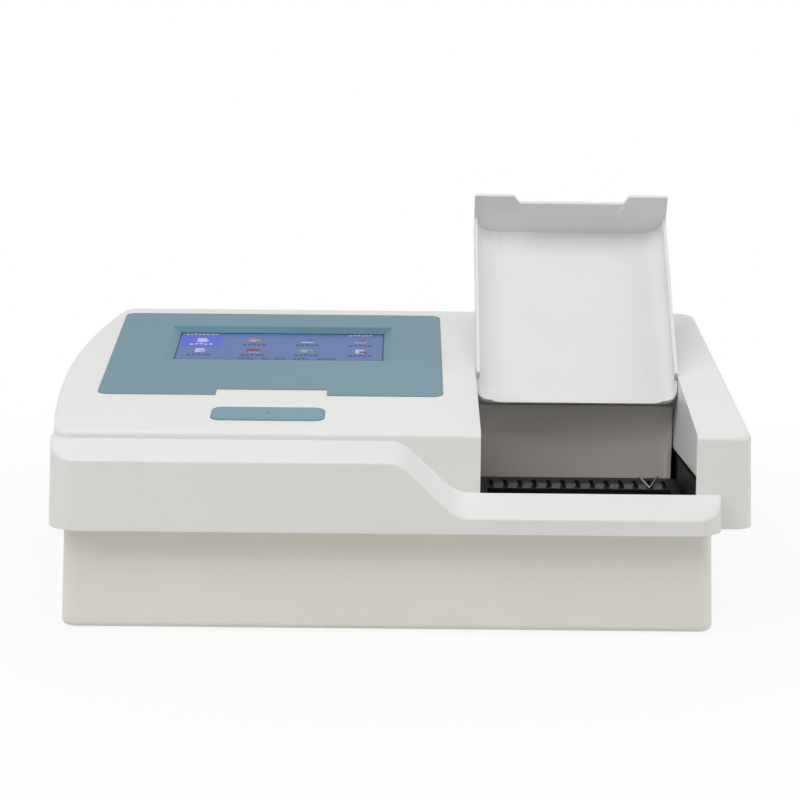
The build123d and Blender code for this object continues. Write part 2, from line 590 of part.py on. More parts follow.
def carrier_tray():
    x0, x1 = WELL_X0 + CARRIER_SIDE_GAP, WELL_X1 - CARRIER_SIDE_GAP
    plan = Pos(WELL_MID, (CARRIER_Y0 + CARRIER_Y1) / 2) * RectangleRounded(x1 - x0, CARRIER_DEPTH, 4)
    body = extrude(Pos(0, 0, CARRIER_Z0 + 6) * plan, CARRIER_THICK - 6)
    seat_x, seat_y = PLATE_SIZE[0] / 2 + PLATE_SEAT_GAP, PLATE_SIZE[1] / 2 + PLATE_SEAT_GAP
    body -= block(WELL_MID - seat_x, WELL_MID + seat_x, PLATE_Y - seat_y, PLATE_Y + seat_y,
                  CARRIER_TOP - PLATE_SEAT_DEPTH, CARRIER_TOP + 1)
    body -= block(WELL_MID - LIGHT_WINDOW[0] / 2, WELL_MID + LIGHT_WINDOW[0] / 2,
                  PLATE_Y - LIGHT_WINDOW[1] / 2, PLATE_Y + LIGHT_WINDOW[1] / 2, 0, CARRIER_TOP)
    slot_w, slot_l, slot_d = COMB_SLOT
    slot_y = CARRIER_Y1 - COMB_INSET - slot_l / 2
    for step in range(COMB_COUNT):
        x = WELL_MID + (step - (COMB_COUNT - 1) / 2) * COMB_PITCH
        body -= block(x - slot_w / 2, x + slot_w / 2, slot_y - slot_l / 2, slot_y + slot_l / 2,
                      CARRIER_TOP - slot_d, CARRIER_TOP + 1)
    for rod_y in ROD_YS:
        for bush_x in BUSH_XS:
            boss = disc((bush_x, rod_y, ROD_Z), BUSH_OUTER + 2.4, BUSH_LENGTH, "X")
            web = block(bush_x - BUSH_LENGTH / 2, bush_x + BUSH_LENGTH / 2,
                        rod_y - BUSH_OUTER, rod_y + BUSH_OUTER, ROD_Z, CARRIER_Z0 + 6.5)
            body += boss + web
    for rod_y in ROD_YS:
        for bush_x in BUSH_XS:
            body -= disc((bush_x, rod_y, ROD_Z), BUSH_OUTER + 0.02, BUSH_LENGTH + 4, "X")
    return body


def carrier_bushes():
    return [ring((x, y, ROD_Z), BUSH_OUTER, ROD_RADIUS + RUN_CLEARANCE, BUSH_LENGTH + 2, "X")
            for x in BUSH_XS for y in ROD_YS]


def plate_spring():
    """Bent wire that pushes the plate into its corner."""
    across, back, up = SPRING_ARM
    x, y = WELL_X1 - SPRING_FROM_RIGHT, PLATE_Y + PLATE_SIZE[1] / 2 + PLATE_SEAT_GAP + 3 * SPRING_WIRE
    z = CARRIER_TOP + SPRING_WIRE + RUN_CLEARANCE
    path = Polyline((x - across, y + back, z + up), (x, y, z), (x + across, y + back, z + up))
    return sweep(Plane(origin=path @ 0, z_dir=path % 0) * Circle(SPRING_WIRE), path, transition=Transition.ROUND)


def guide_rods():
    length = ROD_X1 - ROD_X0
    return [disc(((ROD_X0 + ROD_X1) / 2, y, ROD_Z), ROD_RADIUS, length, "X") for y in ROD_YS]


def rod_posts(x0, x1, z0, z1):
    """One post under the end of each rod, bored for it."""
    posts = []
    for y in ROD_YS:
        body = block(x0, x1, y - ROD_RADIUS - 4, y + ROD_RADIUS + 4, z0, z1)
        posts.append(body - disc(((x0 + x1) / 2, y, ROD_Z), ROD_RADIUS + 0.02, x1 - x0 + 2, "X"))
    return posts


def rod_supports_left():
    return rod_posts(ROD_X0, ROD_X0 + 10, CHASSIS_TOP, ROD_Z + ROD_RADIUS + 5)


def rod_supports_right():
    return rod_posts(ROD_X1 - 8, ROD_X1, TRAY_FLOOR_Z + TRAY_WALL, CARRIER_Z0 - 0.8)


# ---------------------------------------------------------------- belt drive
BELT_INNER = PULLEY_RADIUS + 0.15
STRAND_Z = PULLEY_Z + BELT_INNER


def belt_loop(radius, width):
    """Racetrack round both pulleys."""
    span = IDLER_X - MOTOR_X
    plan = SlotCenterToCenter(span, 2 * radius)
    placed = Plane(origin=((IDLER_X + MOTOR_X) / 2, BELT_Y, PULLEY_Z), x_dir=(1, 0, 0), z_dir=(0, -1, 0))
    return extrude(placed * plan, width / 2, both=True)


def drive_belt():
    return belt_loop(BELT_INNER + BELT_THICK, BELT_WIDTH) - belt_loop(BELT_INNER, BELT_WIDTH + 2)


def pulley(x, bore):
    wheel = disc((x, BELT_Y, PULLEY_Z), PULLEY_RADIUS, PULLEY_WIDTH, "Y")
    for side in (-1, 1):
        wheel += disc((x, BELT_Y + side * (PULLEY_WIDTH / 2 + 0.5), PULLEY_Z), PULLEY_RADIUS + 2.2, 1.0, "Y")
    return wheel - disc((x, BELT_Y, PULLEY_Z), bore, PULLEY_WIDTH + 4, "Y")


def drive_pulley():
    return pulley(MOTOR_X, 2.52)


def idler_pulley():
    return pulley(IDLER_X, 2.05)


MOTOR_Y0 = BELT_Y + PULLEY_WIDTH / 2 + 6


def motor_shaft():
    y0, y1 = BELT_Y - PULLEY_WIDTH / 2 - 1, MOTOR_Y0 + 4
    return disc((MOTOR_X, (y0 + y1) / 2, PULLEY_Z), 2.5, y1 - y0, "Y")


def drive_motor():
    section = Rectangle(MOTOR_SIZE, MOTOR_SIZE)
    section = chamfer(section.vertices(), 4)
    placed = Plane(origin=(MOTOR_X, MOTOR_Y0, PULLEY_Z), x_dir=(1, 0, 0), z_dir=(0, 1, 0))
    body = extrude(placed * section, MOTOR_LENGTH)
    body -= disc((MOTOR_X, MOTOR_Y0, PULLEY_Z), 2.6, 9, "Y")
    return body


def motor_bracket():
    """Angle plate between the motor's face and the chassis."""
    half = MOTOR_SIZE / 2
    face = block(MOTOR_X - half, MOTOR_X + half, MOTOR_Y0 - 2.5, MOTOR_Y0, CHASSIS_TOP, PULLEY_Z + half)
    foot = block(MOTOR_X - half, MOTOR_X + half, MOTOR_Y0, MOTOR_Y0 + 26, CHASSIS_TOP, CHASSIS_TOP + 2.5)
    return face + foot - disc((MOTOR_X, MOTOR_Y0, PULLEY_Z), 11, 12, "Y")


def idler_bracket():
    """Fork on the tray floor with the idler's axle."""
    floor = TRAY_FLOOR_Z + TRAY_WALL
    reach = PULLEY_WIDTH / 2 + 1.3
    body = block(IDLER_X - 4, IDLER_X + 4, BELT_Y - reach - 3, BELT_Y - reach, floor, PULLEY_Z + 4)
    return body + disc((IDLER_X, BELT_Y - 0.5, PULLEY_Z), 2.0, 2 * reach + 1, "Y")


def belt_clamp():
    """Block under the carrier that grips the belt's upper strand."""
    z1 = CARRIER_Z0 + 6
    body = block(WELL_MID - 8, WELL_MID + 8, BELT_Y - 6, BELT_Y + 6, STRAND_Z - 3, z1)
    grip = block(WELL_MID - 9, WELL_MID + 9, BELT_Y - BELT_WIDTH / 2 - 0.3, BELT_Y + 7,
                 STRAND_Z - 0.3, STRAND_Z + BELT_THICK + 0.3)
    return body - grip


# ---------------------------------------------------------------- optics
BRIDGE_Z = 98.0
BRIDGE_THICK = 5.0
CHANNEL_YS = [PLATE_Y + (i - (HEAD_CHANNELS - 1) / 2) * WELL_PITCH for i in range(HEAD_CHANNELS)]


def optics_bridge():
    """Arch over the carrier's path that holds the lens block."""
    half = 12.0
    y0, y1 = CARRIER_Y0 - 7, CARRIER_Y1 + 11
    body = block(HEAD_X - half, HEAD_X + half, y0, y1, BRIDGE_Z, BRIDGE_Z + BRIDGE_THICK)
    for y in (y0, y1 - 5):
        body += block(HEAD_X - half, HEAD_X + half, y, y + 5, CHASSIS_TOP, BRIDGE_Z)
    for y in CHANNEL_YS:
        body -= disc((HEAD_X, y, BRIDGE_Z), 2.0, 20)
    return body


def lens_block():
    half = HEAD_CHANNELS * WELL_PITCH / 2 + 2
    body = block(HEAD_X - 8, HEAD_X + 8, PLATE_Y - half, PLATE_Y + half, BRIDGE_Z - 5, BRIDGE_Z)
    for y in CHANNEL_YS:
        body += disc((HEAD_X, y, BRIDGE_Z - 6), 3.2, 4)
    for y in CHANNEL_YS:
        body -= disc((HEAD_X, y, BRIDGE_Z - 4), 2.0, 14)
    return body


DETECTOR_Z = 34.0


def detector_stand():
    half = HEAD_CHANNELS * WELL_PITCH / 2
    return block(HEAD_X - 9, HEAD_X + 9, PLATE_Y - half, PLATE_Y + half, CHASSIS_TOP, DETECTOR_Z)


def detector_board():
    half = HEAD_CHANNELS * WELL_PITCH / 2 + 3
    body = block(HEAD_X - 12, HEAD_X + 12, PLATE_Y - half, PLATE_Y + half, DETECTOR_Z, DETECTOR_Z + PCB_THICK)
    for y in CHANNEL_YS:
        body += disc((HEAD_X, y, DETECTOR_Z + PCB_THICK + 1.5), 2.6, 3)
    return body


def wheel_places(radius, count):
    return [(WHEEL_X + radius * sin(radians(360 / count * i)), WHEEL_Y, WHEEL_Z + radius * cos(radians(360 / count * i)))
            for i in range(count)]


def filter_wheel():
    body = disc((WHEEL_X, WHEEL_Y, WHEEL_Z), FILTER_WHEEL_RADIUS, WHEEL_THICK, "Y")
    for place in wheel_places(FILTER_RING_RADIUS, FILTER_COUNT):
        body -= disc(place, FILTER_RADIUS, WHEEL_THICK + 2, "Y")
    shaft_y0 = WHEEL_Y - WHEEL_THICK / 2 - 8
    return body + disc((WHEEL_X, shaft_y0 + 4, WHEEL_Z), 1.5, 8.2, "Y")


def filters():
    return [disc(place, FILTER_RADIUS - 0.05, 2.0, "Y") for place in wheel_places(FILTER_RING_RADIUS, FILTER_COUNT)]


FILTER_MOTOR_Y1 = WHEEL_Y - WHEEL_THICK / 2 - 1.5


def filter_motor():
    body = disc((WHEEL_X, FILTER_MOTOR_Y1 - 9, WHEEL_Z), 11, 18, "Y")
    return body - disc((WHEEL_X, FILTER_MOTOR_Y1 - 3, WHEEL_Z), 1.55, 8, "Y")


def filter_motor_bracket():
    y1 = FILTER_MOTOR_Y1 - 18
    plate = block(WHEEL_X - 14, WHEEL_X + 14, y1 - 2.5, y1, CHASSIS_TOP, WHEEL_Z + 13)
    return plate + block(WHEEL_X - 14, WHEEL_X + 14, y1, y1 + 20, CHASSIS_TOP, CHASSIS_TOP + 2.5)


GUIDE_Z = WHEEL_Z + FILTER_RING_RADIUS
GUIDE_END_Y = PLATE_Y + 20


def light_guide():
    """Fibre bundle from the filter wheel to the lens block's manifold."""
    start_y = WHEEL_Y - WHEEL_THICK / 2 - 1.0
    points = [(WHEEL_X, start_y, GUIDE_Z), (WHEEL_X, start_y - 40, GUIDE_Z),
              (HEAD_X, start_y - 80, GUIDE_Z), (HEAD_X, GUIDE_END_Y, GUIDE_Z)]
    path = FilletPolyline(*points, radius=30)
    return sweep(Plane(origin=path @ 0, z_dir=path % 0) * Circle(4), path)


def fibre_manifold():
    """Block on the bridge where the bundle fans out to eight channels."""
    half = HEAD_CHANNELS * WELL_PITCH / 2
    z0 = BRIDGE_Z + BRIDGE_THICK
    return block(HEAD_X - 9, HEAD_X + 9, PLATE_Y - half, GUIDE_END_Y, z0, GUIDE_Z + 7) + \
        block(HEAD_X - 9, HEAD_X + 9, GUIDE_END_Y, PLATE_Y + half, z0, GUIDE_Z - 4.2)


LAMP_Y0 = WHEEL_Y + WHEEL_THICK / 2 + 3


def lamp_housing():
    width, length, height = LAMP_BOX
    z0 = GUIDE_Z - height / 2
    x0, y0 = WHEEL_X - width / 2, LAMP_Y0
    body = block(x0, x0 + width, y0, y0 + length, z0, z0 + height)
    body -= block(x0 + 3, x0 + width - 3, y0 + 3, y0 + length - 3, z0 + 3, z0 + height - 3)
    body -= disc((WHEEL_X, y0, GUIDE_Z), 8.0, 20, "Y")
    for i in range(5):
        y = y0 + 12 + i * 10
        body -= block(x0 + 6, x0 + width - 6, y, y + 4, z0 + height - 5, z0 + height + 1)
    return body


def condenser_lens():
    return disc((WHEEL_X, LAMP_Y0 + 1.5, GUIDE_Z), 7.9, 3, "Y")


def lamp():
    """Halogen capsule on its ceramic socket."""
    y1 = LAMP_Y0 + LAMP_BOX[1] - 3
    socket = disc((WHEEL_X, y1 - 9, GUIDE_Z), 8, 18, "Y")
    bulb = disc((WHEEL_X, y1 - 24, GUIDE_Z), 5, 12, "Y")
    return socket + bulb + Pos(WHEEL_X, y1 - 30, GUIDE_Z) * Sphere(5)


def lamp_stand():
    width, length, height = LAMP_BOX
    z1 = GUIDE_Z - height / 2
    x0 = WHEEL_X - width / 2
    sides = block(x0, x0 + 3, LAMP_Y0, LAMP_Y0 + length, CHASSIS_TOP, z1)
    sides += block(x0 + width - 3, x0 + width, LAMP_Y0, LAMP_Y0 + length, CHASSIS_TOP, z1)
    return sides + block(x0, x0 + width, LAMP_Y0, LAMP_Y0 + length, z1 - 3, z1)


# ---------------------------------------------------------------- electronics
def main_board():
    width, depth = BOARD_SIZE
    x0, y0 = X_LEFT + BASE_LEFT_IN + BOARD_FROM[0], CARRIER_Y0 + BOARD_FROM[1]
    x1, y1 = x0 + width, y0 + depth
    z0 = CHASSIS_TOP + 5
    body = block(x0, x1, y0, y1, z0, z0 + PCB_THICK)
    for x in (x0 + 8, x1 - 8):
        for y in (y0 + 8, y1 - 8):
            body += disc((x, y, CHASSIS_TOP + 2.5), 3, 5)
    top = z0 + PCB_THICK
    for i in range(3):
        body += block(x0 + 30 + 32 * i, x0 + 48 + 32 * i, y0 + 26, y0 + 44, top, top + 2.5)
    body += block(x0 + 20, x1 - 20, y1 - 20, y1 - 12, top, top + 8)
    return body


def power_supply():
    width, depth, height = SUPPLY_SIZE
    x0, y1 = X_LEFT + BASE_LEFT_IN + SUPPLY_FROM[0], BACK_WALL_Y - SUPPLY_FROM[1]
    y0, z1 = y1 - depth, CHASSIS_TOP + height
    body = block(x0, x0 + width, y0, y1, CHASSIS_TOP, z1)
    for i in range(8):
        x = x0 + 12 + i * 10
        body -= block(x, x + 5, y0 + 12, y1 - 12, z1 - 2, z1 + 1)
    return body


def power_inlet():
    """Three-pin mains inlet through the back wall."""
    w, h = INLET_BODY
    y1 = BACK_WALL_Y + 1.5
    body = block(INLET_X - w / 2, INLET_X + w / 2, y1 - 24, y1, INLET_Z - h / 2, INLET_Z + h / 2)
    body -= block(INLET_X - 10, INLET_X + 10, y1 - 16, y1 + 1, INLET_Z - 6.5, INLET_Z + 6.5)
    for x, z in ((-6, -1), (6, -1), (0, 2.5)):
        body += block(INLET_X + x - 1, INLET_X + x + 1, y1 - 17, y1 - 2, INLET_Z + z - 2, INLET_Z + z + 2)
    return body


ROCKER_Y = BACK_WALL_Y - 3.0


def switch_frame():
    w, h = SWITCH_BODY
    y1 = BACK_WALL_Y + 1.5
    body = block(SWITCH_X - w / 2, SWITCH_X + w / 2, y1 - 20, y1, INLET_Z - h / 2, INLET_Z + h / 2)
    body -= block(SWITCH_X - w / 2 + 2, SWITCH_X + w / 2 - 2, y1 - 15, y1 + 1,
                  INLET_Z - h / 2 + 2, INLET_Z + h / 2 - 2)
    return body - disc((SWITCH_X, ROCKER_Y, INLET_Z), SWITCH_PIN_RADIUS + RUN_CLEARANCE, h - 1.0)


def power_rocker():
    """Rocker with two faces, tilted onto its OFF side."""
    w, h = SWITCH_BODY
    half = w / 2 - 2.6
    with BuildSketch() as side:
        with BuildLine():
            Polyline((-half, 3.2), (0, 2.2), (half, 3.2), (half * 0.6, -3.5), (-half * 0.6, -3.5), close=True)
        make_face()
    body = extrude(side.sketch, (h - 5.2) / 2, both=True) + Cylinder(SWITCH_PIN_RADIUS, h - 1.4)
    return Pos(SWITCH_X, ROCKER_Y, INLET_Z) * Rot(0, 0, -SWITCH_TILT / 2) * body


def data_ports():
    w, h = PORT_BODY
    y1 = BACK_WALL_Y + 0.6
    usb = block(PORTS_X - w / 2, PORTS_X + w / 2, y1 - 16, y1, PORT_Z - h / 2, PORT_Z + h / 2)
    usb -= block(PORTS_X - w / 2 + 1.5, PORTS_X + w / 2 - 1.5, y1 - 10, y1 + 1, PORT_Z - h / 2 + 2, PORT_Z + h / 2 - 2)
    w, h = SERIAL_BODY
    serial = block(SERIAL_X - w / 2, SERIAL_X + w / 2, y1 - 12, y1, PORT_Z - h / 2, PORT_Z + h / 2)
    serial -= block(SERIAL_X - 8, SERIAL_X + 8, y1 - 6, y1 + 1, PORT_Z - 4, PORT_Z + 4)
    return [usb, serial]


FAN_Y1 = BACK_WALL_Y - BASE_WALL - 2.5


def fan_frame():
    half = FAN_SIZE / 2
    y0 = FAN_Y1 - FAN_THICK
    body = block(FAN_X - half, FAN_X + half, y0, FAN_Y1, FAN_Z - half + 2, FAN_Z + half - 2)
    body -= disc((FAN_X, FAN_Y1, FAN_Z), half - 2.5, 3 * FAN_THICK, "Y")
    for i in range(3):
        arm = block(-1.5, 1.5, y0, y0 + 2, 0, half - 1)
        body += Pos(FAN_X, 0, FAN_Z) * Rot(0, 120 * i, 0) * arm
    body += disc((FAN_X, y0 + 1, FAN_Z), 11, 2, "Y")
    return body + disc((FAN_X, y0 + 5, FAN_Z), 1.5, 8, "Y")


def fan_rotor():
    y0 = FAN_Y1 - FAN_THICK
    hub_y = y0 + 2.5 + 5
    body = disc((FAN_X, hub_y, FAN_Z), 10, 10, "Y")
    for i in range(7):
        blade = Pos(17.5, 0, 0) * Rot(35, 0, 0) * Box(17, 1.2, 11)
        body += Pos(FAN_X, hub_y, FAN_Z) * Rot(0, 360 / 7 * i, 0) * blade
    return body - disc((FAN_X, hub_y - 2, FAN_Z), 1.6, 10, "Y")


# ---------------------------------------------------------------- display and key
def display_panel():
    """Tinted panel, let into the top, with a bevelled window over the glass."""
    sheet = extrude(panel_plan(), -PANEL_THICK)
    window = screen_place() * Rectangle(SCREEN_WIDTH, SCREEN_DEPTH)
    grown = screen_place() * Rectangle(SCREEN_WIDTH + 2 * SCREEN_BEVEL, SCREEN_DEPTH + 2 * SCREEN_BEVEL)
    frame = extrude(Pos(0, 0, -PANEL_THICK) * screen_place() *
                    Rectangle(SCREEN_WIDTH + 2 * MODULE_BORDER, SCREEN_DEPTH + 2 * MODULE_BORDER),
                    -(SCREEN_SINK - PANEL_THICK))
    funnel = loft([Pos(0, 0, 0.01) * grown, Pos(0, 0, -SCREEN_SINK - 0.01) * window])
    return TOP_PLANE.offset(PANEL_PROUD) * (sheet + frame - funnel)


def display_glass():
    plan = screen_place() * Rectangle(SCREEN_WIDTH + 4, SCREEN_DEPTH + 4)
    return TOP_PLANE.offset(PANEL_PROUD - SCREEN_SINK) * extrude(plan, -GLASS_THICK)


def lcd_module():
    plan = screen_place() * Rectangle(SCREEN_WIDTH + 2 * MODULE_BORDER - 1, SCREEN_DEPTH + 2 * MODULE_BORDER - 1)
    return TOP_PLANE.offset(PANEL_PROUD - SCREEN_SINK - GLASS_THICK) * extrude(plan, -MODULE_THICK)


def menu_key():
    """Oblong key, held under the cover by its flange."""
    cap = extrude(key_plan(), -KEY_THICK)
    cap = fillet(cap.faces().sort_by(Axis.Z)[-1].edges(), 0.8)
    place = key_plan().center()
    reach, thick = KEY_FLANGE
    radius, length = KEY_STEM
    flange = extrude(Pos(0, 0, -KEY_THICK) * key_plan(reach), -thick)
    stem = Pos(place.X, place.Y, -KEY_THICK - length / 2) * Cylinder(radius, length)
    dimple = Pos(place.X, place.Y, 0.6) * Sphere(1.6)
    return TOP_PLANE.offset(KEY_PROUD) * (cap + flange + stem - dimple)


def key_board():
    """Small board with the key's tactile switch, hung on two posts under the cover."""
    place = key_plan().center()
    switch_top = -KEY_THICK - KEY_STEM[1] - KEY_TRAVEL - 0.1
    board_top = switch_top - 2.2
    post_x = KEY_WIDTH / 2 + KEY_FLANGE[0] + 4
    board = Pos(place.X, place.Y, board_top - PCB_THICK / 2) * Box(2 * post_x + 8, KEY_DEPTH - 8, PCB_THICK)
    switch = Pos(place.X, place.Y, board_top + 1.1) * Box(6, 6, 2.2)
    body = board + switch
    post_top = -KEY_PROUD - COVER_WALL
    for side in (-1, 1):
        body += Pos(place.X + side * post_x, place.Y, (post_top + board_top) / 2) * Cylinder(2.5, post_top - board_top)
    return TOP_PLANE.offset(KEY_PROUD) * body


NODES = {
    "lower_housing": lower_housing, "top_cover": top_cover, "feet": feet, "chassis_plate": chassis_plate,
    "lid": lid, "hinge_pins": hinge_pins, "well_back_panel": well_back_panel, "well_tray": well_tray,
    "tray_posts": tray_posts, "carrier_tray": carrier_tray, "carrier_bushes": carrier_bushes,
    "plate_spring": plate_spring, "guide_rods": guide_rods, "rod_supports_left": rod_supports_left,
    "rod_supports_right": rod_supports_right, "drive_belt": drive_belt, "drive_pulley": drive_pulley,
    "motor_shaft": motor_shaft, "drive_motor": drive_motor, "motor_bracket": motor_bracket,
    "idler_pulley": idler_pulley, "idler_bracket": idler_bracket, "belt_clamp": belt_clamp,
    "optics_bridge": optics_bridge, "lens_block": lens_block, "detector_stand": detector_stand,
    "detector_board": detector_board, "filter_wheel": filter_wheel, "filters": filters,
    "filter_motor": filter_motor, "filter_motor_bracket": filter_motor_bracket,
    "light_guide": light_guide, "fibre_manifold": fibre_manifold, "lamp_housing": lamp_housing,
    "condenser_lens": condenser_lens, "lamp": lamp, "lamp_stand": lamp_stand, "main_board": main_board,
    "power_supply": power_supply, "power_inlet": power_inlet, "switch_frame": switch_frame,
    "power_rocker": power_rocker, "data_ports": data_ports, "fan_frame": fan_frame,
    "fan_rotor": fan_rotor, "display_panel": display_panel, "display_glass": display_glass,
    "lcd_module": lcd_module, "menu_key": menu_key, "key_board": key_board,
}


def write_parts():
    os.makedirs("parts", exist_ok=True)
    for name, make in NODES.items():
        made = make()
        solids = made if isinstance(made, list) else [made]
        shape = Compound(children=[s for item in solids for s in item.solids()])
        export_step(shape, f"parts/{name}.step")


if __name__ == "__main__":
    write_parts()
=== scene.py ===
"""Finishes and fine detail of a bench microplate reader, dressed round its fixed CAD frame."""
from math import cos, pi, radians, sin

import bmesh
import bpy
from bpy.props import FloatProperty, FloatVectorProperty, IntProperty, PointerProperty
from bpy.types import Operator, Panel, PropertyGroup
from mathutils import Matrix, Vector


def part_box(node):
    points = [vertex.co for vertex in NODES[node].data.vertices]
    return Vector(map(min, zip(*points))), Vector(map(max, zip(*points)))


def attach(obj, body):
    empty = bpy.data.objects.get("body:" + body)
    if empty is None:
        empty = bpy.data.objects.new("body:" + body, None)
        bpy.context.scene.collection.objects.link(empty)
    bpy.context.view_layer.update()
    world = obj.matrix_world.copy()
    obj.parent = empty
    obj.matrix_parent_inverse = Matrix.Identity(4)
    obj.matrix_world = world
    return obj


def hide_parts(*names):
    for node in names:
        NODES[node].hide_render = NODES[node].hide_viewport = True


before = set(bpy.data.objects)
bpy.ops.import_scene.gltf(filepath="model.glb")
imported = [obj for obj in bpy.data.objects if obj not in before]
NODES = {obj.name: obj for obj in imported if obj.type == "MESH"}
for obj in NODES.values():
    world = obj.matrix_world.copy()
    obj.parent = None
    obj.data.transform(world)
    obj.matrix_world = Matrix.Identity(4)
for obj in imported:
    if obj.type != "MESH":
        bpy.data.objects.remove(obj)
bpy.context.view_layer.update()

bl_info = {
    "name": "Plate Reader Finishes",
    "version": (1, 0, 0),
    "blender": (4, 5, 0),
    "location": "3D View > Sidebar > Plate Reader",
    "description": "Finishes, lit menu, fasteners and studio of a bench microplate reader",
    "category": "Object",
}

EVEN = (1, 1, 1)                # stretch of a pattern that runs no way in particular
TOP_SLOPE = radians(3.6)        # the cover's top climbs to the back
ALONG_TOP = Vector((0, cos(TOP_SLOPE), sin(TOP_SLOPE)))
OUT_OF_TOP = Vector((0, -sin(TOP_SLOPE), cos(TOP_SLOPE)))

# Lid, beside its settings
FLAT_ROWS = 17                  # stations along its flat part, and round its tail below
FLAT_END = 0.003                # last station of the flat part, behind the hinge
TAIL_ROWS = 15
TAIL_SLOPE_END = 0.004          # the rim has climbed this far short of the tail
TAIL_THINNING = 0.62            # share of the wall that runs out towards the tail's edge
TAIL_LIP = 0.0003               # least height of the rim under the roof
STEP_BACK = 0.0005              # length in which the side walls end, behind the hinge
LEAST_GAP = 0.001               # between the rim and the cover behind the hinge, and over a cove
HAIR = 0.0001                   # thickness of a mark, and least height of a section's side
CORNER_STEPS = 8                # per quarter turn of a section's round corner
CORNER_FLATTEN = (0.5, 0.0025)  # height of the inner corner: share of its width, and more
GRIP_COLUMNS = 24               # columns of faces over the grip's sloping end
GRIP_COLUMN_PITCH = 0.00062
GRIP_COLUMNS_INSET = 0.0125
GRIP_ROWS = 12
WALL_COLUMNS = (0.2, 0.4, 0.75) # further columns, as shares of half the lid
WALL_END = 0.0004               # and one this far inside each end
WALL_SHOULDER = 0.010           # row under the roof where the flat face ends
SEAM_SIZE = (0.00035, 0.022)    # mould's seam mark inside the roof
SEAM_INSET = (0.020, 0.0135)    # from the side and from the front

# Menu on the lit screen, in shares of its width and depth
GLASS_THICK = 0.0011
GLASS_MARGIN = 0.002            # glass under the panel's window, all round
LIFT = 0.00006                  # how far each layer of lit shapes stands on the one below
MARK_THICK = 0.00005
MASK_SIDE = 0.012               # dark strips along the sides, at the foot and at the top
MASK_BARS = ((0.085, 0.03), (1.0, 0.05))
STATUS_V, STATUS_PITCH, STATUS_TALL = 0.935, 0.020, 0.05
STATUS_ROWS = ((0.105, 8), (0.885, 6))
FOOT_V, FOOT_PITCH, FOOT_TALL = 0.140, 0.019, 0.06
FOOT_ROWS = ((0.30, 4), (0.415, 2), (0.475, 3), (0.565, 4), (0.675, 5))
CHOSEN_PLACE, CHOSEN_SIZE = (0.112, 0.705), (0.200, 0.320)
PICTURE_FROM, PICTURE_PITCH = (0.112, 0.735), (0.258, 0.345)
CAPTION_DROP, CAPTION_COUNT = 0.135, 5
MENU_TONES = {                  # linear colours, where the two without one are settings
    "chosen": None, "pale": (0.42, 0.46, 0.76), "caption": None,
    "red": (0.150, 0.018, 0.036), "brown": (0.230, 0.075, 0.050), "green": (0.16, 0.30, 0.10),
    "amber": (0.32, 0.17, 0.10), "white": (0.40, 0.46, 0.74), "blue": (0.045, 0.10, 0.36),
    "sky": (0.20, 0.36, 0.68), "mask": (0.020, 0.025, 0.055),
}
PICTURES = (("white", "pale", "page"), ("amber", "green", "folder"), ("blue", "pale", "peak"),
            ("brown", "sky", "peak"), ("white", "sky", "page"), ("red", "white", "book"),
            ("green", "blue", "folder"), ("white", "red", "page"))
PICTURE_PARTS = {               # each part: place from the middle, width, height, tone, layer
    "page": ((0, 0, 0.044, 0.13, "main", 2), (0.014, -0.02, 0.034, 0.06, "accent", 3)),
    "folder": ((0, 0, 0.062, 0.11, "main", 2), (-0.016, 0.06, 0.026, 0.04, "main", 2),
               (-0.002, -0.008, 0.034, 0.055, "sky", 3), (0.014, -0.02, 0.020, 0.05, "accent", 4)),
    "peak": ((0, -0.045, 0.058, 0.036, "accent", 2), (0.004, -0.010, 0.044, 0.036, "main", 2),
             (0.008, 0.025, 0.030, 0.036, "main", 2), (0.012, 0.060, 0.016, 0.036, "main", 2)),
    "book": ((0, 0.005, 0.060, 0.10, "main", 2), (0.004, -0.052, 0.056, 0.022, "accent", 3)),
}

# Well and carrier
TRIM_SIZE = (0.0034, 0.0018)    # pale upright strip at the back panel's right end
TRIM_TALL = 0.034
TRIM_ROUND = 0.0006
TRIM_FROM = (-0.0018, -0.00095, 0.003)
SHADOW_STRIP_OUT = 0.0024             # near-black strip under the well's right skirt, from the panel's end: painted shadow of the skirt on the tray
SHADOW_STRIP_FRONT = (-0.150, 0.10625)    # Y and Z of the skirt's lower edge where the strip starts
SHADOW_STRIP_BACK_Z = 0.08950         # and its Z at the back panel
SHADOW_STRIP_SHORT = 0.0005           # the strip ends this far in front of that panel
SHADOW_STRIP_DROP = 0.0026
SHADOW_STRIP_WIDTH = 0.0050
SHADOW_STRIP_THICK = 0.0012
SHADOW_STRIP_ROUND = 0.0004
CARRIER_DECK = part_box("plate_spring")[0].z - 0.0003
# Comb pads: pale tiles on the ribs, a painted highlight of the lit rib tops
PAD_SHARE = 0.60                # a comb pad's width in the comb's pitch
PAD_LENGTH = 0.0150
PAD_THICK = 0.0004
PAD_ROUND = 0.0008
PAD_INSET = 0.0262              # from the carrier's back edge to the pad's middle
PAD_TURN = radians(-9)

# Back wall
BACK_LEAN = radians(2.0)        # draft of the base's back wall
BACK_FOOT_Z = 0.002             # height at which that wall starts
INLET_PROUD = 0.0015            # how far the inlet stands out of its foot
SCREW_RADIUS = 0.003
SCREW_INSET = (0.005, 0.004)    # from the fan frame's corners

# Stage
SENSOR_WIDTH = 36
VIEW_END = 60
LAMP_AIM = Vector((0, 0, 0.1))
LAMPS = (                       # name, place, size, setting for its power, share of that power
    ("light_key", (-0.25, -0.85, 2.05), 1.6, "key", 1.0),
    ("light_left", (-1.45, -0.95, 1.25), 1.1, "sides", 0.95),
    ("light_right", (1.9, -0.5, 0.8), 1.1, "sides", 1.0),
    ("light_behind", (0.4, 1.7, 1.5), 1.2, "sides", 0.2),
)
FLOOR_REACH = 12
FLOOR_GLOW = (("From Min", 0.28), ("From Max", 0.60), ("To Min", 0.90), ("To Max", 1.0))


def clamp(value):
    return min(1.0, max(0.0, value))


def blend(start, end, share):
    return start + (end - start) * share


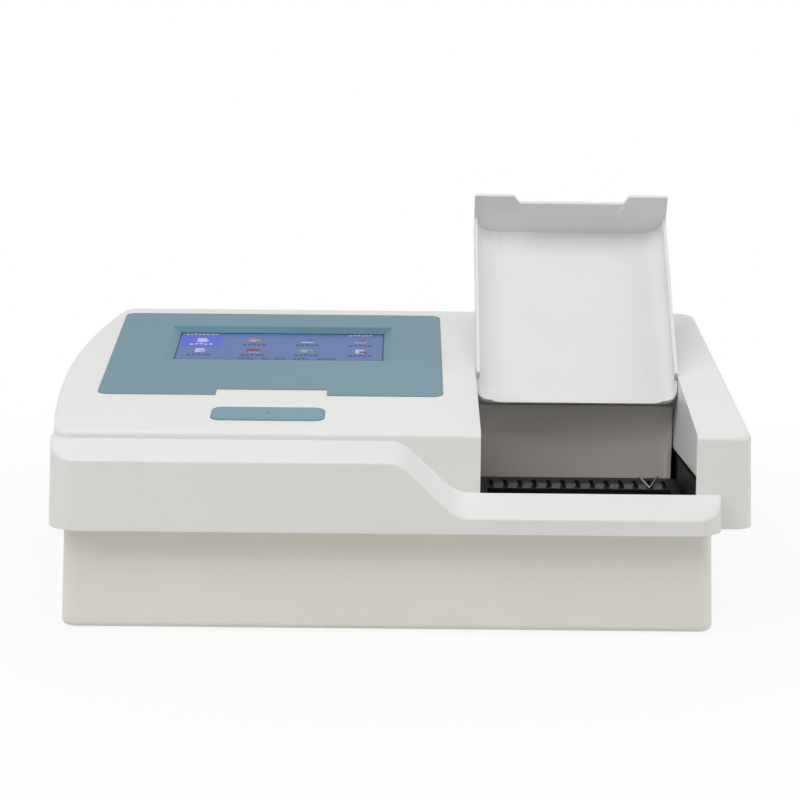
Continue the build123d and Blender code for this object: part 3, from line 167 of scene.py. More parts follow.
def colour(name, text, value):
    return FloatVectorProperty(name=name, description=text, subtype="COLOR", size=3, min=0, max=1,
                               default=value)


def length(name, text, value):
    return FloatProperty(name=name, description=text, unit="LENGTH", precision=5, min=0, default=value)


# ---------------------------------------------------------------- settings
class ReaderFinishes(PropertyGroup):
    cover: colour("Cover", "Moulded cover, linear colour", (0.775, 0.775, 0.765))
    base: colour("Base", "Cream base box", (0.790, 0.775, 0.730))
    lid: colour("Lid", "Plate well lid", (0.760, 0.760, 0.760))
    panel: colour("Panel", "Tinted display panel", (0.115, 0.238, 0.300))
    key: colour("Key", "Oblong key", (0.125, 0.280, 0.350))
    lining: colour("Lining", "Pale panel at the back of the well", (0.90, 0.855, 0.81))
    black: colour("Black plastic", "Carrier and tray", (0.012, 0.011, 0.010))
    rubber: colour("Rubber", "Feet", (0.020, 0.020, 0.020))
    teeth: IntProperty(name="Comb slots", description="Slots along the carrier's back", min=2,
                       default=13)
    tooth_pitch: length("Comb pitch", "From slot to slot", 0.0102)
    grain: length("Grain", "Spacing of the fine texture on moulded walls", 0.0009)
    grain_depth: length("Grain depth", "Height of that texture", 0.000012)


class ReaderDisplay(PropertyGroup):
    glow: colour("Screen", "Colour of the lit screen", (0.083, 0.145, 0.360))
    chosen: colour("Chosen tile", "Colour of the tile that is chosen", (0.080, 0.090, 0.620))
    caption: colour("Captions", "Colour of the dashes under the pictures", (0.040, 0.055, 0.150))
    strength: FloatProperty(name="Brightness", description="Strength of the lit screen", min=0,
                            default=0.85)
    columns: IntProperty(name="Columns", description="Tiles across", min=1, max=8, default=4)
    rows: IntProperty(name="Rows", description="Rows of tiles", min=1, max=4, default=2)


class ReaderLid(PropertyGroup):
    reach: length("Reach", "From the hinge to the front wall's face", 0.1563)
    tail: length("Tail", "Behind the hinge", 0.0192)
    above: length("Above", "Roof over the hinge axis", 0.0045)
    sides: length("Side walls", "Depth of the side walls", 0.0167)
    front: length("Front wall", "Depth of the front wall", 0.0390)
    wall: length("Wall", "Thickness of the walls", 0.0024)
    corner: length("Rear corners", "Radius of the two rear corners", 0.0105)
    edge: length("Edge", "Radius along the outer edges", 0.0015)
    cove_front: length("Cove, front", "Width of the soft corner at the front wall", 0.0170)
    cove_back: length("Cove, back", "Width of the soft corner at the hinge", 0.0075)
    grip: length("Grip", "Width of the finger grip at the free edge", 0.0810)
    grip_top: length("Grip, top", "Width of the finger grip where it runs out", 0.0670)
    grip_depth: length("Grip depth", "How far the grip sinks at the free edge", 0.0076)
    grip_rise: length("Grip rise", "How far up the front wall the grip reaches", 0.0220)
    grip_slope: length("Grip slope", "Width of the grip's sloping ends", 0.0038)
    opened: FloatProperty(name="Opened", description="How far the lid stands open", subtype="ANGLE",
                          default=radians(148.5))


class ReaderStage(PropertyGroup):
    lens: FloatProperty(name="Lens", description="Focal length on a 36 mm sensor, in millimetres",
                        min=1, default=130.05)
    eye: FloatVectorProperty(name="Eye", description="Where the camera stands", subtype="TRANSLATION",
                             unit="LENGTH", size=3, default=(0.00195, -2.0315, 0.5615))
    pitch: FloatProperty(name="Pitch", description="How far the camera looks down", subtype="ANGLE",
                         default=radians(12.16))
    roll: FloatProperty(name="Roll", description="Camera's roll", subtype="ANGLE",
                        default=radians(0.55))
    key: FloatProperty(name="Key light", min=0, default=21,
                       description="Power of the large light above and in front, in watts")
    sides: FloatProperty(name="Side lights", min=0, default=11,
                         description="Power of each soft light at the sides, in watts")
    sky: FloatProperty(name="Sky", description="Strength of the even light all round", min=0,
                       default=0.30)
    floor: colour("Floor", "Colour of the floor", (0.74, 0.725, 0.695))


# ---------------------------------------------------------------- materials
class Finish:
    """A node material under way: a shader, and patterns in the frame's own metres."""

    def __init__(self, name, base, roughness, **sockets):
        self.material = bpy.data.materials.new(name)
        self.material.use_nodes = True
        self.tree = self.material.node_tree
        self.tree.nodes.clear()
        self.shader = self.add("ShaderNodeBsdfPrincipled")
        self.out = self.add("ShaderNodeOutputMaterial")
        self.join(self.shader.outputs["BSDF"], self.out.inputs["Surface"])
        self.place = self.add("ShaderNodeTexCoord").outputs["Object"]
        self.base = tuple(base)
        self.shader.inputs["Base Color"].default_value = (*base, 1)
        self.shader.inputs["Roughness"].default_value = roughness
        for key, value in sockets.items():
            self.shader.inputs[key.replace("_", " ")].default_value = value

    def add(self, kind, **settings):
        node = self.tree.nodes.new(kind)
        for key, value in settings.items():
            setattr(node, key, value)
        return node

    def join(self, a, b):
        self.tree.links.new(a, b)

    def noise(self, spacing, detail=3.0, stretch=EVEN):
        """Noise whose lumps are about spacing metres apart."""
        place = self.place
        if stretch != EVEN:
            mapping = self.add("ShaderNodeMapping")
            mapping.inputs["Scale"].default_value = stretch
            self.join(place, mapping.inputs["Vector"])
            place = mapping.outputs["Vector"]
        node = self.add("ShaderNodeTexNoise")
        node.inputs["Scale"].default_value = 1.0 / spacing
        node.inputs["Detail"].default_value = detail
        self.join(place, node.inputs["Vector"])
        return node.outputs["Fac"]

    def spread(self, value, low, high):
        """Noise, whose middle runs from 0.3 to 0.7, spread over low to high."""
        node = self.add("ShaderNodeMapRange")
        self.join(value, node.inputs["Value"])
        node.inputs["From Min"].default_value = 0.3
        node.inputs["From Max"].default_value = 0.7
        node.inputs["To Min"].default_value = low
        node.inputs["To Max"].default_value = high
        return node.outputs["Result"]

    def tint(self, value, dark, light, socket="Base Color"):
        """Colour that drifts between base * dark and base * light."""
        mix = self.add("ShaderNodeMix", data_type="RGBA")
        self.join(self.spread(value, 0.0, 1.0), mix.inputs["Factor"])
        for name, share in (("A", dark), ("B", light)):
            tone = [min(1.0, channel * share) for channel in self.base]
            [s for s in mix.inputs if s.name == name and s.type == "RGBA"][0].default_value = (*tone, 1)
        result = [s for s in mix.outputs if s.type == "RGBA"][0]
        self.join(result, self.shader.inputs[socket])
        return self

    def matt(self, value, low, high):
        """Roughness that drifts between low and high."""
        self.join(self.spread(value, low, high), self.shader.inputs["Roughness"])
        return self

    def bump(self, value, depth):
        """Fine relief, depth metres high."""
        node = self.add("ShaderNodeBump")
        node.inputs["Distance"].default_value = depth
        self.join(value, node.inputs["Height"])
        self.join(node.outputs["Normal"], self.shader.inputs["Normal"])
        return self


def moulded(name, base, roughness, grain, depth, drift=0.012, wear=0.04, **sockets):
    """Moulded plastic: fine grain, and a colour and gloss that drift a little over the wall."""
    finish = Finish(name, base, roughness, **sockets)
    finish.tint(finish.noise(0.06), 1 - drift, 1 + drift)
    finish.matt(finish.noise(0.012), roughness - wear, roughness + wear)
    return finish.bump(finish.noise(grain, 2.0), depth).material


def metal(name, base, roughness, stretch=EVEN):
    """Worked metal, brushed along the axis with the smallest stretch."""
    finish = Finish(name, base, roughness, Metallic=1.0)
    lines = finish.noise(0.0015, 4.0, stretch)
    finish.tint(lines, 0.88, 1.06).matt(lines, roughness - 0.07, roughness + 0.08)
    return finish.bump(lines, 0.000006).material


def lit(name, base, strength, drift=0.03):
    """Face of the lit screen."""
    finish = Finish(name, tuple(0.12 * c for c in base), 0.2, Specular_IOR_Level=0.03)
    finish.base = tuple(base)
    finish.shader.inputs["Emission Strength"].default_value = strength
    finish.tint(finish.noise(0.09, 1.0), 1 - drift, 1 + drift, "Emission Color")
    return finish.material


def paint(material, *names):
    """Gives CAD nodes a finish."""
    for name in names:
        node = NODES[name]
        if not node.data.materials:
            node.data.materials.append(material)
        for item in node.material_slots:
            item.material = material


# ---------------------------------------------------------------- mesh helpers
def piece(name, shape, body, materials, smooth=True):
    """A new piece from a finished bmesh, riding on a CAD body."""
    mesh = bpy.data.meshes.new(name)
    shape.to_mesh(mesh)
    shape.free()
    for material in materials:
        mesh.materials.append(material)
    for face in mesh.polygons:
        face.use_smooth = smooth
    thing = bpy.data.objects.new(name, mesh)
    bpy.context.scene.collection.objects.link(thing)
    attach(thing, body)
    return thing


def tile(shape, place, size, corner, thick, index=0):
    """Thin plate with round corners on the plane of place, which maps its XY."""
    width, depth = size
    corner = min(corner, width / 2.01, depth / 2.01)
    rim = []
    for cx, cy, start in ((1, 1, 0), (-1, 1, 90), (-1, -1, 180), (1, -1, 270)):
        for step in range(5):
            turn = radians(start + step * 22.5)
            rim.append((cx * (width / 2 - corner) + corner * cos(turn),
                        cy * (depth / 2 - corner) + corner * sin(turn)))
    low = [shape.verts.new(place @ Vector((x, y, 0))) for x, y in rim]
    high = [shape.verts.new(place @ Vector((x, y, thick))) for x, y in rim]
    faces = [shape.faces.new(high), shape.faces.new(low[::-1])]
    for i in range(len(rim)):
        j = (i + 1) % len(rim)
        faces.append(shape.faces.new((low[i], low[j], high[j], high[i])))
    for face in faces:
        face.material_index = index


def lathe(shape, place, profile, sides):
    """Solid turned about the local Z of place, from (radius, height) pairs on the axis at both ends."""
    rings = []
    for radius, height in profile:
        count = sides if radius > 0 else 1
        rings.append([shape.verts.new(place @ Vector((radius * cos(2 * pi * i / sides),
                                                      radius * sin(2 * pi * i / sides), height)))
                      for i in range(count)])
    for a, b in zip(rings, rings[1:]):
        for i in range(sides):
            j = (i + 1) % sides
            if len(b) == 1:
                shape.faces.new((a[i], a[j], b[0]))
            elif len(a) == 1:
                shape.faces.new((a[0], b[j], b[i]))
            else:
                shape.faces.new((a[i], a[j], b[j], b[i]))


def screw_head(shape, place, radius):
    """Pan head screw of the first material, with a thin cross of the second."""
    height = radius * 0.55
    lathe(shape, place, [(0, 0), (radius, 0), (radius, height * 0.45), (radius * 0.86, height * 0.85),
                         (radius * 0.62, height), (0, height)], 20)
    for turn in (0, pi / 2):
        arm = place @ Matrix.Rotation(turn, 4, "Z") @ Matrix.Translation((0, 0, height))
        tile(shape, arm, (radius * 1.1, radius * 0.32), radius * 0.048, height * 0.022, 1)


def facing(point, towards, up=(0, 0, 1)):
    """Placement at a point whose local Z looks along towards."""
    z = Vector(towards).normalized()
    x = Vector(up).cross(z)
    x = x.normalized() if x.length > 1e-6 else Vector((1, 0, 0))
    y = z.cross(x)
    turn = Matrix((x, y, z)).transposed().to_4x4()
    return Matrix.Translation(point) @ turn


def on_glass(u, v, lift=LIFT):
    """Placement on the display glass, and its lit size: u and v run from 0 to 1, right and back."""
    low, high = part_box("display_glass")
    depth = (high.y - low.y - GLASS_THICK * sin(TOP_SLOPE)) / cos(TOP_SLOPE)
    corner = Vector((low.x, low.y, high.z - depth * sin(TOP_SLOPE)))
    wide, deep = high.x - low.x - 2 * GLASS_MARGIN, depth - 2 * GLASS_MARGIN
    point = (corner + Vector((GLASS_MARGIN + u * wide, 0, 0)) + ALONG_TOP * (GLASS_MARGIN + v * deep)
             + OUT_OF_TOP * lift)
    return facing(point, OUT_OF_TOP, ALONG_TOP), wide, deep


# ---------------------------------------------------------------- operators
class READER_OT_housing(Operator):
    """Moulded cover, cream base and rubber feet"""
    bl_idname = "reader.housing"
    bl_label = "Finish the Housing"

    def execute(self, context):
        s = context.scene.reader_finishes
        paint(moulded("cover_white_satin", s.cover, 0.38, s.grain, s.grain_depth,
                      Specular_IOR_Level=0.45), "top_cover")
        paint(moulded("base_cream_satin", s.base, 0.42, s.grain * 1.4, s.grain_depth * 1.4),
              "lower_housing")
        paint(moulded("foot_rubber", s.rubber, 0.75, 0.0015, 0.00006, 0.1), "feet")
        paint(metal("chassis_steel", (0.48, 0.48, 0.47), 0.38, (1, 12, 12)), "chassis_plate",
              "tray_posts")
        return {"FINISHED"}


class READER_OT_lid(Operator):
    """Lid of the plate well: a coved tray with a deep front wall and its finger grip"""
    bl_idname = "reader.lid"
    bl_label = "Build the Lid"

    def execute(self, context):
        s, lid = context.scene.reader_finishes, context.scene.reader_lid
        low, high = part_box("lid")
        half = (high.x - low.x) / 2
        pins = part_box("hinge_pins")
        place = (Matrix.Translation((pins[0] + pins[1]) / 2)
                 @ Matrix.Rotation(TOP_SLOPE - lid.opened, 4, "X"))
        white = moulded("lid_white_satin", s.lid, 0.40, s.grain, s.grain_depth)
        seam = moulded("lid_seam_grey", [0.8 * c for c in s.lid], 0.5, s.grain, s.grain_depth)
        shape = bmesh.new()
        self.tray(shape, place, lid, half)
        self.front_wall(shape, place, lid, half)
        for side in (-1, 1):
            boss = (place @ Matrix.Translation((side * (half - lid.wall), 0, 0))
                    @ Matrix.Rotation(side * pi / 2, 4, "Y"))
            radius = lid.above * 0.98
            lathe(shape, boss, [(0, 0), (radius, 0), (radius, lid.wall), (0, lid.wall)], 32)
        line = (place @ Matrix.Translation((-half + SEAM_INSET[0], -lid.reach + SEAM_INSET[1],
                                            lid.above - lid.wall)) @ Matrix.Rotation(pi, 4, "X"))
        tile(shape, line, SEAM_SIZE, HAIR, HAIR, 1)
        tray = piece("lid_tray", shape, "lid", [white, seam])
        tray.data.set_sharp_from_angle(angle=radians(38))
        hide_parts("lid")
        paint(white, "lid")
        paint(metal("pin_steel", (0.62, 0.62, 0.60), 0.25), "hinge_pins")
        return {"FINISHED"}

    def section(self, half, rim, roof, across, down):
        """From a wall's rim up, round the corner and to the middle, as (x, z) pairs."""
        down = min(down, max(HAIR, roof - rim - HAIR))
        corner = []
        for i in range(CORNER_STEPS + 1):
            turn = i * pi / 2 / CORNER_STEPS
            corner.append((half - across + across * cos(turn), roof - down + down * sin(turn)))
        return [(half, rim), *corner, (0, roof)]

    def tray(self, shape, place, lid, half):
        """Roof and side walls, drawn as one section that changes from the front to the rounded tail."""
        start = -lid.reach + lid.edge
        rows = [blend(start, FLAT_END, i / (FLAT_ROWS - 1)) for i in range(FLAT_ROWS)]
        rows += [lid.above, lid.above + STEP_BACK]
        rows += [lid.tail - lid.corner * (1 - sin(i * pi / 2 / (TAIL_ROWS - 1)))
                 for i in range(TAIL_ROWS)]
        rings = []
        for y in sorted(rows):
            around = min(lid.corner, max(0.0, y - (lid.tail - lid.corner)))
            wide = half - lid.corner + (lid.corner ** 2 - around ** 2) ** 0.5
            if y <= lid.above:
                rim = lid.above - lid.sides
            else:
                climb = clamp((y - lid.above) / (lid.tail - TAIL_SLOPE_END - lid.above))
                rim = blend(-lid.above, lid.above - lid.wall, climb) - LEAST_GAP
            thin = lid.wall * (1 - TAIL_THINNING * clamp(1 - (lid.tail - y) / lid.corner))
            rim = min(rim, lid.above - thin - TAIL_LIP)
            cove = blend(lid.cove_front, lid.cove_back, clamp((y - start) / -start))
            outer = self.section(wide, rim, lid.above, lid.edge, lid.edge)
            inner = self.section(wide - thin, rim, lid.above - thin, min(cove, wide - thin - LEAST_GAP),
                                 CORNER_FLATTEN[0] * cove + CORNER_FLATTEN[1])
            whole = []
            for half_section in (outer, inner):
                across = half_section + [(-x, z) for x, z in half_section[-2::-1]]
                whole.append([shape.verts.new(place @ Vector((x, y, z))) for x, z in across])
            rings.append(whole)
        count = len(rings[0][0])
        for (a, c), (b, d) in zip(rings, rings[1:]):
            for i in range(count - 1):
                shape.faces.new((a[i], a[i + 1], b[i + 1], b[i]))
                shape.faces.new((c[i + 1], c[i], d[i], d[i + 1]))
            for i, way in ((0, 1), (count - 1, -1)):
                shape.faces.new((a[i], b[i], d[i], c[i])[::way])
        for (a, c), way in ((rings[0], 1), (rings[-1], -1)):
            for i in range(count - 1):
                shape.faces.new((a[i], c[i], c[i + 1], a[i + 1])[::way])

    def front_wall(self, shape, place, lid, half):
        """Deep front wall whose middle sinks in towards its free edge."""
        foot = lid.above - lid.front
        grip = (lid.grip + lid.grip_slope) / 2
        columns = {0.0, half, half - WALL_END, *(half * share for share in WALL_COLUMNS)}
        columns |= {grip - GRIP_COLUMNS_INSET + GRIP_COLUMN_PITCH * i for i in range(GRIP_COLUMNS)}
        columns = sorted(columns | {-x for x in columns})
        rows = [(foot + lid.grip_rise * i / GRIP_ROWS, 0) for i in range(GRIP_ROWS + 1)]
        rows += [(lid.above - WALL_SHOULDER, 0), (lid.above - lid.edge, 0),
                 (lid.above - 0.3 * lid.edge, 0.3 * lid.edge), (lid.above, lid.edge)]
        faces = []
        for back in (0, lid.wall):
            grid = []
            for z, inwards in rows:
                t = min(1.0, (z - foot) / lid.grip_rise)
                width = blend(lid.grip, lid.grip_top, t) / 2
                line = []
                for x in columns:
                    ramp = clamp((width + lid.grip_slope / 2 - abs(x)) / lid.grip_slope)
                    y = -lid.reach + lid.grip_depth * (1 - t) * ramp + max(inwards, back)
                    line.append(shape.verts.new(place @ Vector((x, y, z))))
                grid.append(line)
            faces.append(grid)
        front, rear = faces
        wide, tall = len(columns), len(rows)
        for j in range(tall - 1):
            for i in range(wide - 1):
                shape.faces.new((front[j][i], front[j][i + 1], front[j + 1][i + 1], front[j + 1][i]))
                shape.faces.new((rear[j][i + 1], rear[j][i], rear[j + 1][i], rear[j + 1][i + 1]))
            shape.faces.new((front[j + 1][0], rear[j + 1][0], rear[j][0], front[j][0]))
            shape.faces.new((front[j][-1], rear[j][-1], rear[j + 1][-1], front[j + 1][-1]))
        for i in range(wide - 1):
            shape.faces.new((front[0][i + 1], front[0][i], rear[0][i], rear[0][i + 1]))
            shape.faces.new((front[-1][i], front[-1][i + 1], rear[-1][i + 1], rear[-1][i]))


class READER_OT_display(Operator):
    """Tinted panel, glass and display module"""
    bl_idname = "reader.display"
    bl_label = "Finish the Display"

    def execute(self, context):
        s, d = context.scene.reader_finishes, context.scene.reader_display
        sheet = {"roughness": 0.42, "grain": 0.0007, "depth": 0.000002, "drift": 0.006, "wear": 0.012,
                 "Specular_IOR_Level": 0.25}
        paint(moulded("panel_teal_satin", s.panel, **sheet), "display_panel")
        paint(lit("screen_lavender", d.glow, d.strength), "display_glass")
        paint(metal("module_tin", (0.55, 0.55, 0.55), 0.4), "lcd_module")
        paint(moulded("key_teal_satin", s.key, **sheet), "menu_key")
        return {"FINISHED"}


class READER_OT_menu(Operator):
    """Generic menu on the lit screen: a status strip, tiles with plain pictures and dashes"""
    bl_idname = "reader.menu"
    bl_label = "Build the Menu"

    def execute(self, context):
        d = context.scene.reader_display
        wide, deep = on_glass(0.5, 0.5)[1:]
        tones = {**MENU_TONES, "chosen": tuple(d.chosen), "caption": tuple(d.caption)}
        names = list(tones)
        materials = [lit("menu_" + name, tones[name], d.strength, 0.05) for name in names]
        shape = bmesh.new()

        def put(u, v, width, height, tone, layer=1, corner=0.0002):
            """A flat shape whose middle is at u, v and whose size is in shares of the screen."""
            spot = on_glass(u, v, LIFT * layer)[0]
            tile(shape, spot, (width * wide, height * deep), corner, MARK_THICK, names.index(tone))

        def dashes(u, v, count, tone, pitch=0.0235, tall=0.075):
            """A short row of uneven marks, like words too small to be read."""
            for i in range(count):
                at = u + (i - (count - 1) / 2) * pitch
                put(at, v + tall * 0.125 * (i % 3 - 1), pitch * (0.78 - 0.16 * (i % 2)), tall * 0.55,
                    tone, 3)

        for u in (0.0, 1.0):
            put(u, 0.5, MASK_SIDE, 1.0, "mask", 1, HAIR)
        for v, height in MASK_BARS:
            put(0.5, v, 1.0, height, "mask", 1, HAIR)
        for u, count in STATUS_ROWS:
            dashes(u, STATUS_V, count, "pale", STATUS_PITCH, STATUS_TALL)
        put(*CHOSEN_PLACE, *CHOSEN_SIZE, "chosen", 1, 0.0008)
        for row in range(d.rows):
            for column in range(d.columns):
                main, accent, kind = PICTURES[(row * d.columns + column) % len(PICTURES)]
                u = PICTURE_FROM[0] + PICTURE_PITCH[0] * column
                v = PICTURE_FROM[1] - PICTURE_PITCH[1] * row
                roles = {"main": main, "accent": accent}
                for aside, up, width, height, tone, layer in PICTURE_PARTS[kind]:
                    put(u + aside, v + up, width, height, roles.get(tone, tone), layer)
                dashes(u, v - CAPTION_DROP, CAPTION_COUNT, "pale" if row == column == 0 else "caption")
        for start, count in FOOT_ROWS:
            dashes(start + count * 0.0105, FOOT_V, count, "caption", FOOT_PITCH, FOOT_TALL)
        piece("menu_on_screen", shape, "housing", materials, smooth=False)
        return {"FINISHED"}


class READER_OT_well(Operator):
    """Black tray and pale back panel of the plate well, with its edge strip and a near-black strip of
    painted shadow under the right skirt
    """
    bl_idname = "reader.well"
    bl_label = "Finish the Plate Well"

    def execute(self, context):
        s = context.scene.reader_finishes
        paint(moulded("lining_grey_satin", s.lining, 0.5, s.grain, s.grain_depth), "well_back_panel")
        paint(moulded("tray_black_satin", s.black, 0.5, s.grain, s.grain_depth, 0.1,
                      Specular_IOR_Level=0.2), "well_tray")
        edge = moulded("panel_edge_pale", (0.80, 0.78, 0.75), 0.45, s.grain, s.grain_depth)
        low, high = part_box("well_back_panel")
        shape = bmesh.new()
        foot = Vector((high.x, low.y, low.z)) + Vector(TRIM_FROM)
        tile(shape, Matrix.Translation(foot), TRIM_SIZE, TRIM_ROUND, TRIM_TALL)
        piece("panel_edge_trim", shape, "housing", [edge], smooth=False)
        # Near-black strip along the right skirt's lower edge: painted shadow where the skirt shades the
        # tray
        matt = moulded("painted_shadow_black", (0.004, 0.004, 0.004), 0.85, 0.0012, 0.00002, 0.1,
                       Specular_IOR_Level=0.1)
        shape = bmesh.new()
        start = Vector((high.x + SHADOW_STRIP_OUT, *SHADOW_STRIP_FRONT))
        end = Vector((start.x, low.y - SHADOW_STRIP_SHORT, SHADOW_STRIP_BACK_Z))
        run = (end - start).normalized()
        aside = Vector((1, 0, 0))
        place = Matrix.Translation((start + end) / 2 - Vector((0, 0, SHADOW_STRIP_DROP)))
        turn = Matrix((run, run.cross(aside), aside)).transposed()
        tile(shape, place @ turn.to_4x4(), ((end - start).length, SHADOW_STRIP_WIDTH), SHADOW_STRIP_ROUND,
             SHADOW_STRIP_THICK)
        piece("well_painted_shadow", shape, "housing", [matt], smooth=False)
        return {"FINISHED"}


class READER_OT_carrier(Operator):
    """Plate carrier with its comb, bushes, clamp and wire spring"""
    bl_idname = "reader.carrier"
    bl_label = "Finish the Carrier"

    def execute(self, context):
        s = context.scene.reader_finishes
        paint(moulded("carrier_black_satin", s.black, 0.42, s.grain, s.grain_depth, 0.1,
                      Specular_IOR_Level=0.18), "carrier_tray")
        self.comb(s)
        paint(metal("bush_bronze", (0.52, 0.33, 0.14), 0.35, (1, 8, 8)), "carrier_bushes")
        paint(metal("spring_steel", (0.30, 0.30, 0.29), 0.38), "plate_spring")
        paint(metal("clamp_aluminium", (0.68, 0.69, 0.70), 0.38), "belt_clamp")
        return {"FINISHED"}

    def comb(self, s):
        """Pale pads on the comb's ribs between its slots, turned a little against them: a painted
        highlight where the rib tops catch the light.
        """
        # Lighter grey than the black carrier: painted highlight of the lit rib tops
        rib_highlight = moulded("comb_rib_painted_highlight", (0.105, 0.100, 0.100), 0.6, s.grain, s.grain_depth, 0.08, 0.06,
                       Specular_IOR_Level=0.2)
        low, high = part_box("carrier_tray")
        middle = (low.x + high.x) / 2
        shape = bmesh.new()
        for i in range(s.teeth - 1):
            x = middle + (i - (s.teeth - 2) / 2) * s.tooth_pitch
            place = (Matrix.Translation((x, high.y - PAD_INSET, CARRIER_DECK))
                     @ Matrix.Rotation(PAD_TURN, 4, "Z"))
            tile(shape, place, (s.tooth_pitch * PAD_SHARE, PAD_LENGTH), PAD_ROUND, PAD_THICK)
        piece("comb_painted_highlights", shape, "carrier", [rib_highlight], smooth=False)


class READER_OT_drive(Operator):
    """Rods, belt, pulleys, motor and their brackets"""
    bl_idname = "reader.drive"
    bl_label = "Finish the Drive"

    def execute(self, context):
        paint(metal("rod_ground_steel", (0.70, 0.70, 0.69), 0.16, (0.4, 8, 8)),
              "guide_rods", "motor_shaft")
        paint(metal("bracket_aluminium", (0.66, 0.67, 0.68), 0.40, (1, 1, 9)),
              "rod_supports_left", "rod_supports_right", "drive_pulley", "idler_pulley",
              "motor_bracket", "idler_bracket", "filter_motor_bracket")
        paint(moulded("belt_black", (0.018, 0.018, 0.018), 0.7, 0.0011, 0.00008, 0.1), "drive_belt")
        paint(moulded("motor_black", (0.022, 0.022, 0.023), 0.42, 0.0012, 0.00002, 0.1), "drive_motor",
              "filter_motor")
        return {"FINISHED"}


class READER_OT_optics(Operator):
    """Bridge, lenses, filter wheel, light guide and lamp"""
    bl_idname = "reader.optics"
    bl_label = "Finish the Optics"

    def execute(self, context):
        aluminium = metal("optics_aluminium", (0.62, 0.63, 0.64), 0.36, (9, 1, 1))
        paint(aluminium, "optics_bridge", "filter_wheel", "lamp_housing", "lamp_stand",
              "detector_stand")
        anodised = moulded("anodised_black", (0.020, 0.020, 0.022), 0.38, 0.0008, 0.00001, 0.1,
                           Metallic=0.6)
        paint(anodised, "lens_block", "fibre_manifold")
        paint(moulded("board_green", (0.020, 0.105, 0.045), 0.40, 0.0016, 0.00002, 0.12,
                      Coat_Weight=0.4), "detector_board", "main_board", "key_board")
        glass = Finish("filter_glass", (0.55, 0.75, 0.95), 0.05, IOR=1.5, Transmission_Weight=0.8)
        glass.tint(glass.noise(0.02), 0.92, 1.05)
        paint(glass.material, "filters")
        clear = Finish("lens_glass", (0.95, 0.97, 0.98), 0.03, IOR=1.5, Transmission_Weight=0.9)
        clear.tint(clear.noise(0.02), 0.97, 1.0)
        paint(clear.material, "condenser_lens", "lamp")
        paint(moulded("fibre_jacket", (0.020, 0.020, 0.021), 0.6, 0.001, 0.00006, 0.1), "light_guide")
        return {"FINISHED"}


class READER_OT_electronics(Operator):
    """Power supply case"""
    bl_idname = "reader.electronics"
    bl_label = "Finish the Electronics"

    def execute(self, context):
        paint(metal("supply_case", (0.58, 0.58, 0.57), 0.42, (1, 10, 10)), "power_supply")
        return {"FINISHED"}


class READER_OT_rear(Operator):
    """Inlet, switch, ports and fan, with the fan's screws"""
    bl_idname = "reader.rear"
    bl_label = "Finish the Rear"

    def execute(self, context):
        s = context.scene.reader_finishes
        paint(moulded("rear_black_plastic", (0.016, 0.016, 0.016), 0.4, s.grain, s.grain_depth, 0.1),
              "power_inlet", "switch_frame", "power_rocker", "fan_frame", "fan_rotor")
        paint(metal("port_nickel", (0.60, 0.60, 0.58), 0.3), "data_ports")
        steel = metal("screw_steel", (0.60, 0.60, 0.59), 0.3)
        recess = metal("screw_recess", (0.10, 0.10, 0.10), 0.6)
        shape = bmesh.new()
        for spot in self.spots():
            screw_head(shape, spot, SCREW_RADIUS)
        piece("fan_screws", shape, "housing", [steel, recess])
        return {"FINISHED"}

    def spots(self):
        """Places on the leaning back wall, near the corners of the fan's frame behind it."""
        low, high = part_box("fan_frame")
        aside, inwards = SCREW_INSET
        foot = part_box("power_inlet")[1].y - INLET_PROUD
        for x in (low.x + aside, high.x - aside):
            for z in (low.z + inwards, high.z - inwards):
                y = foot - (z - BACK_FOOT_Z) * sin(BACK_LEAN)
                yield facing((x, y, z), (0, cos(BACK_LEAN), sin(BACK_LEAN)))


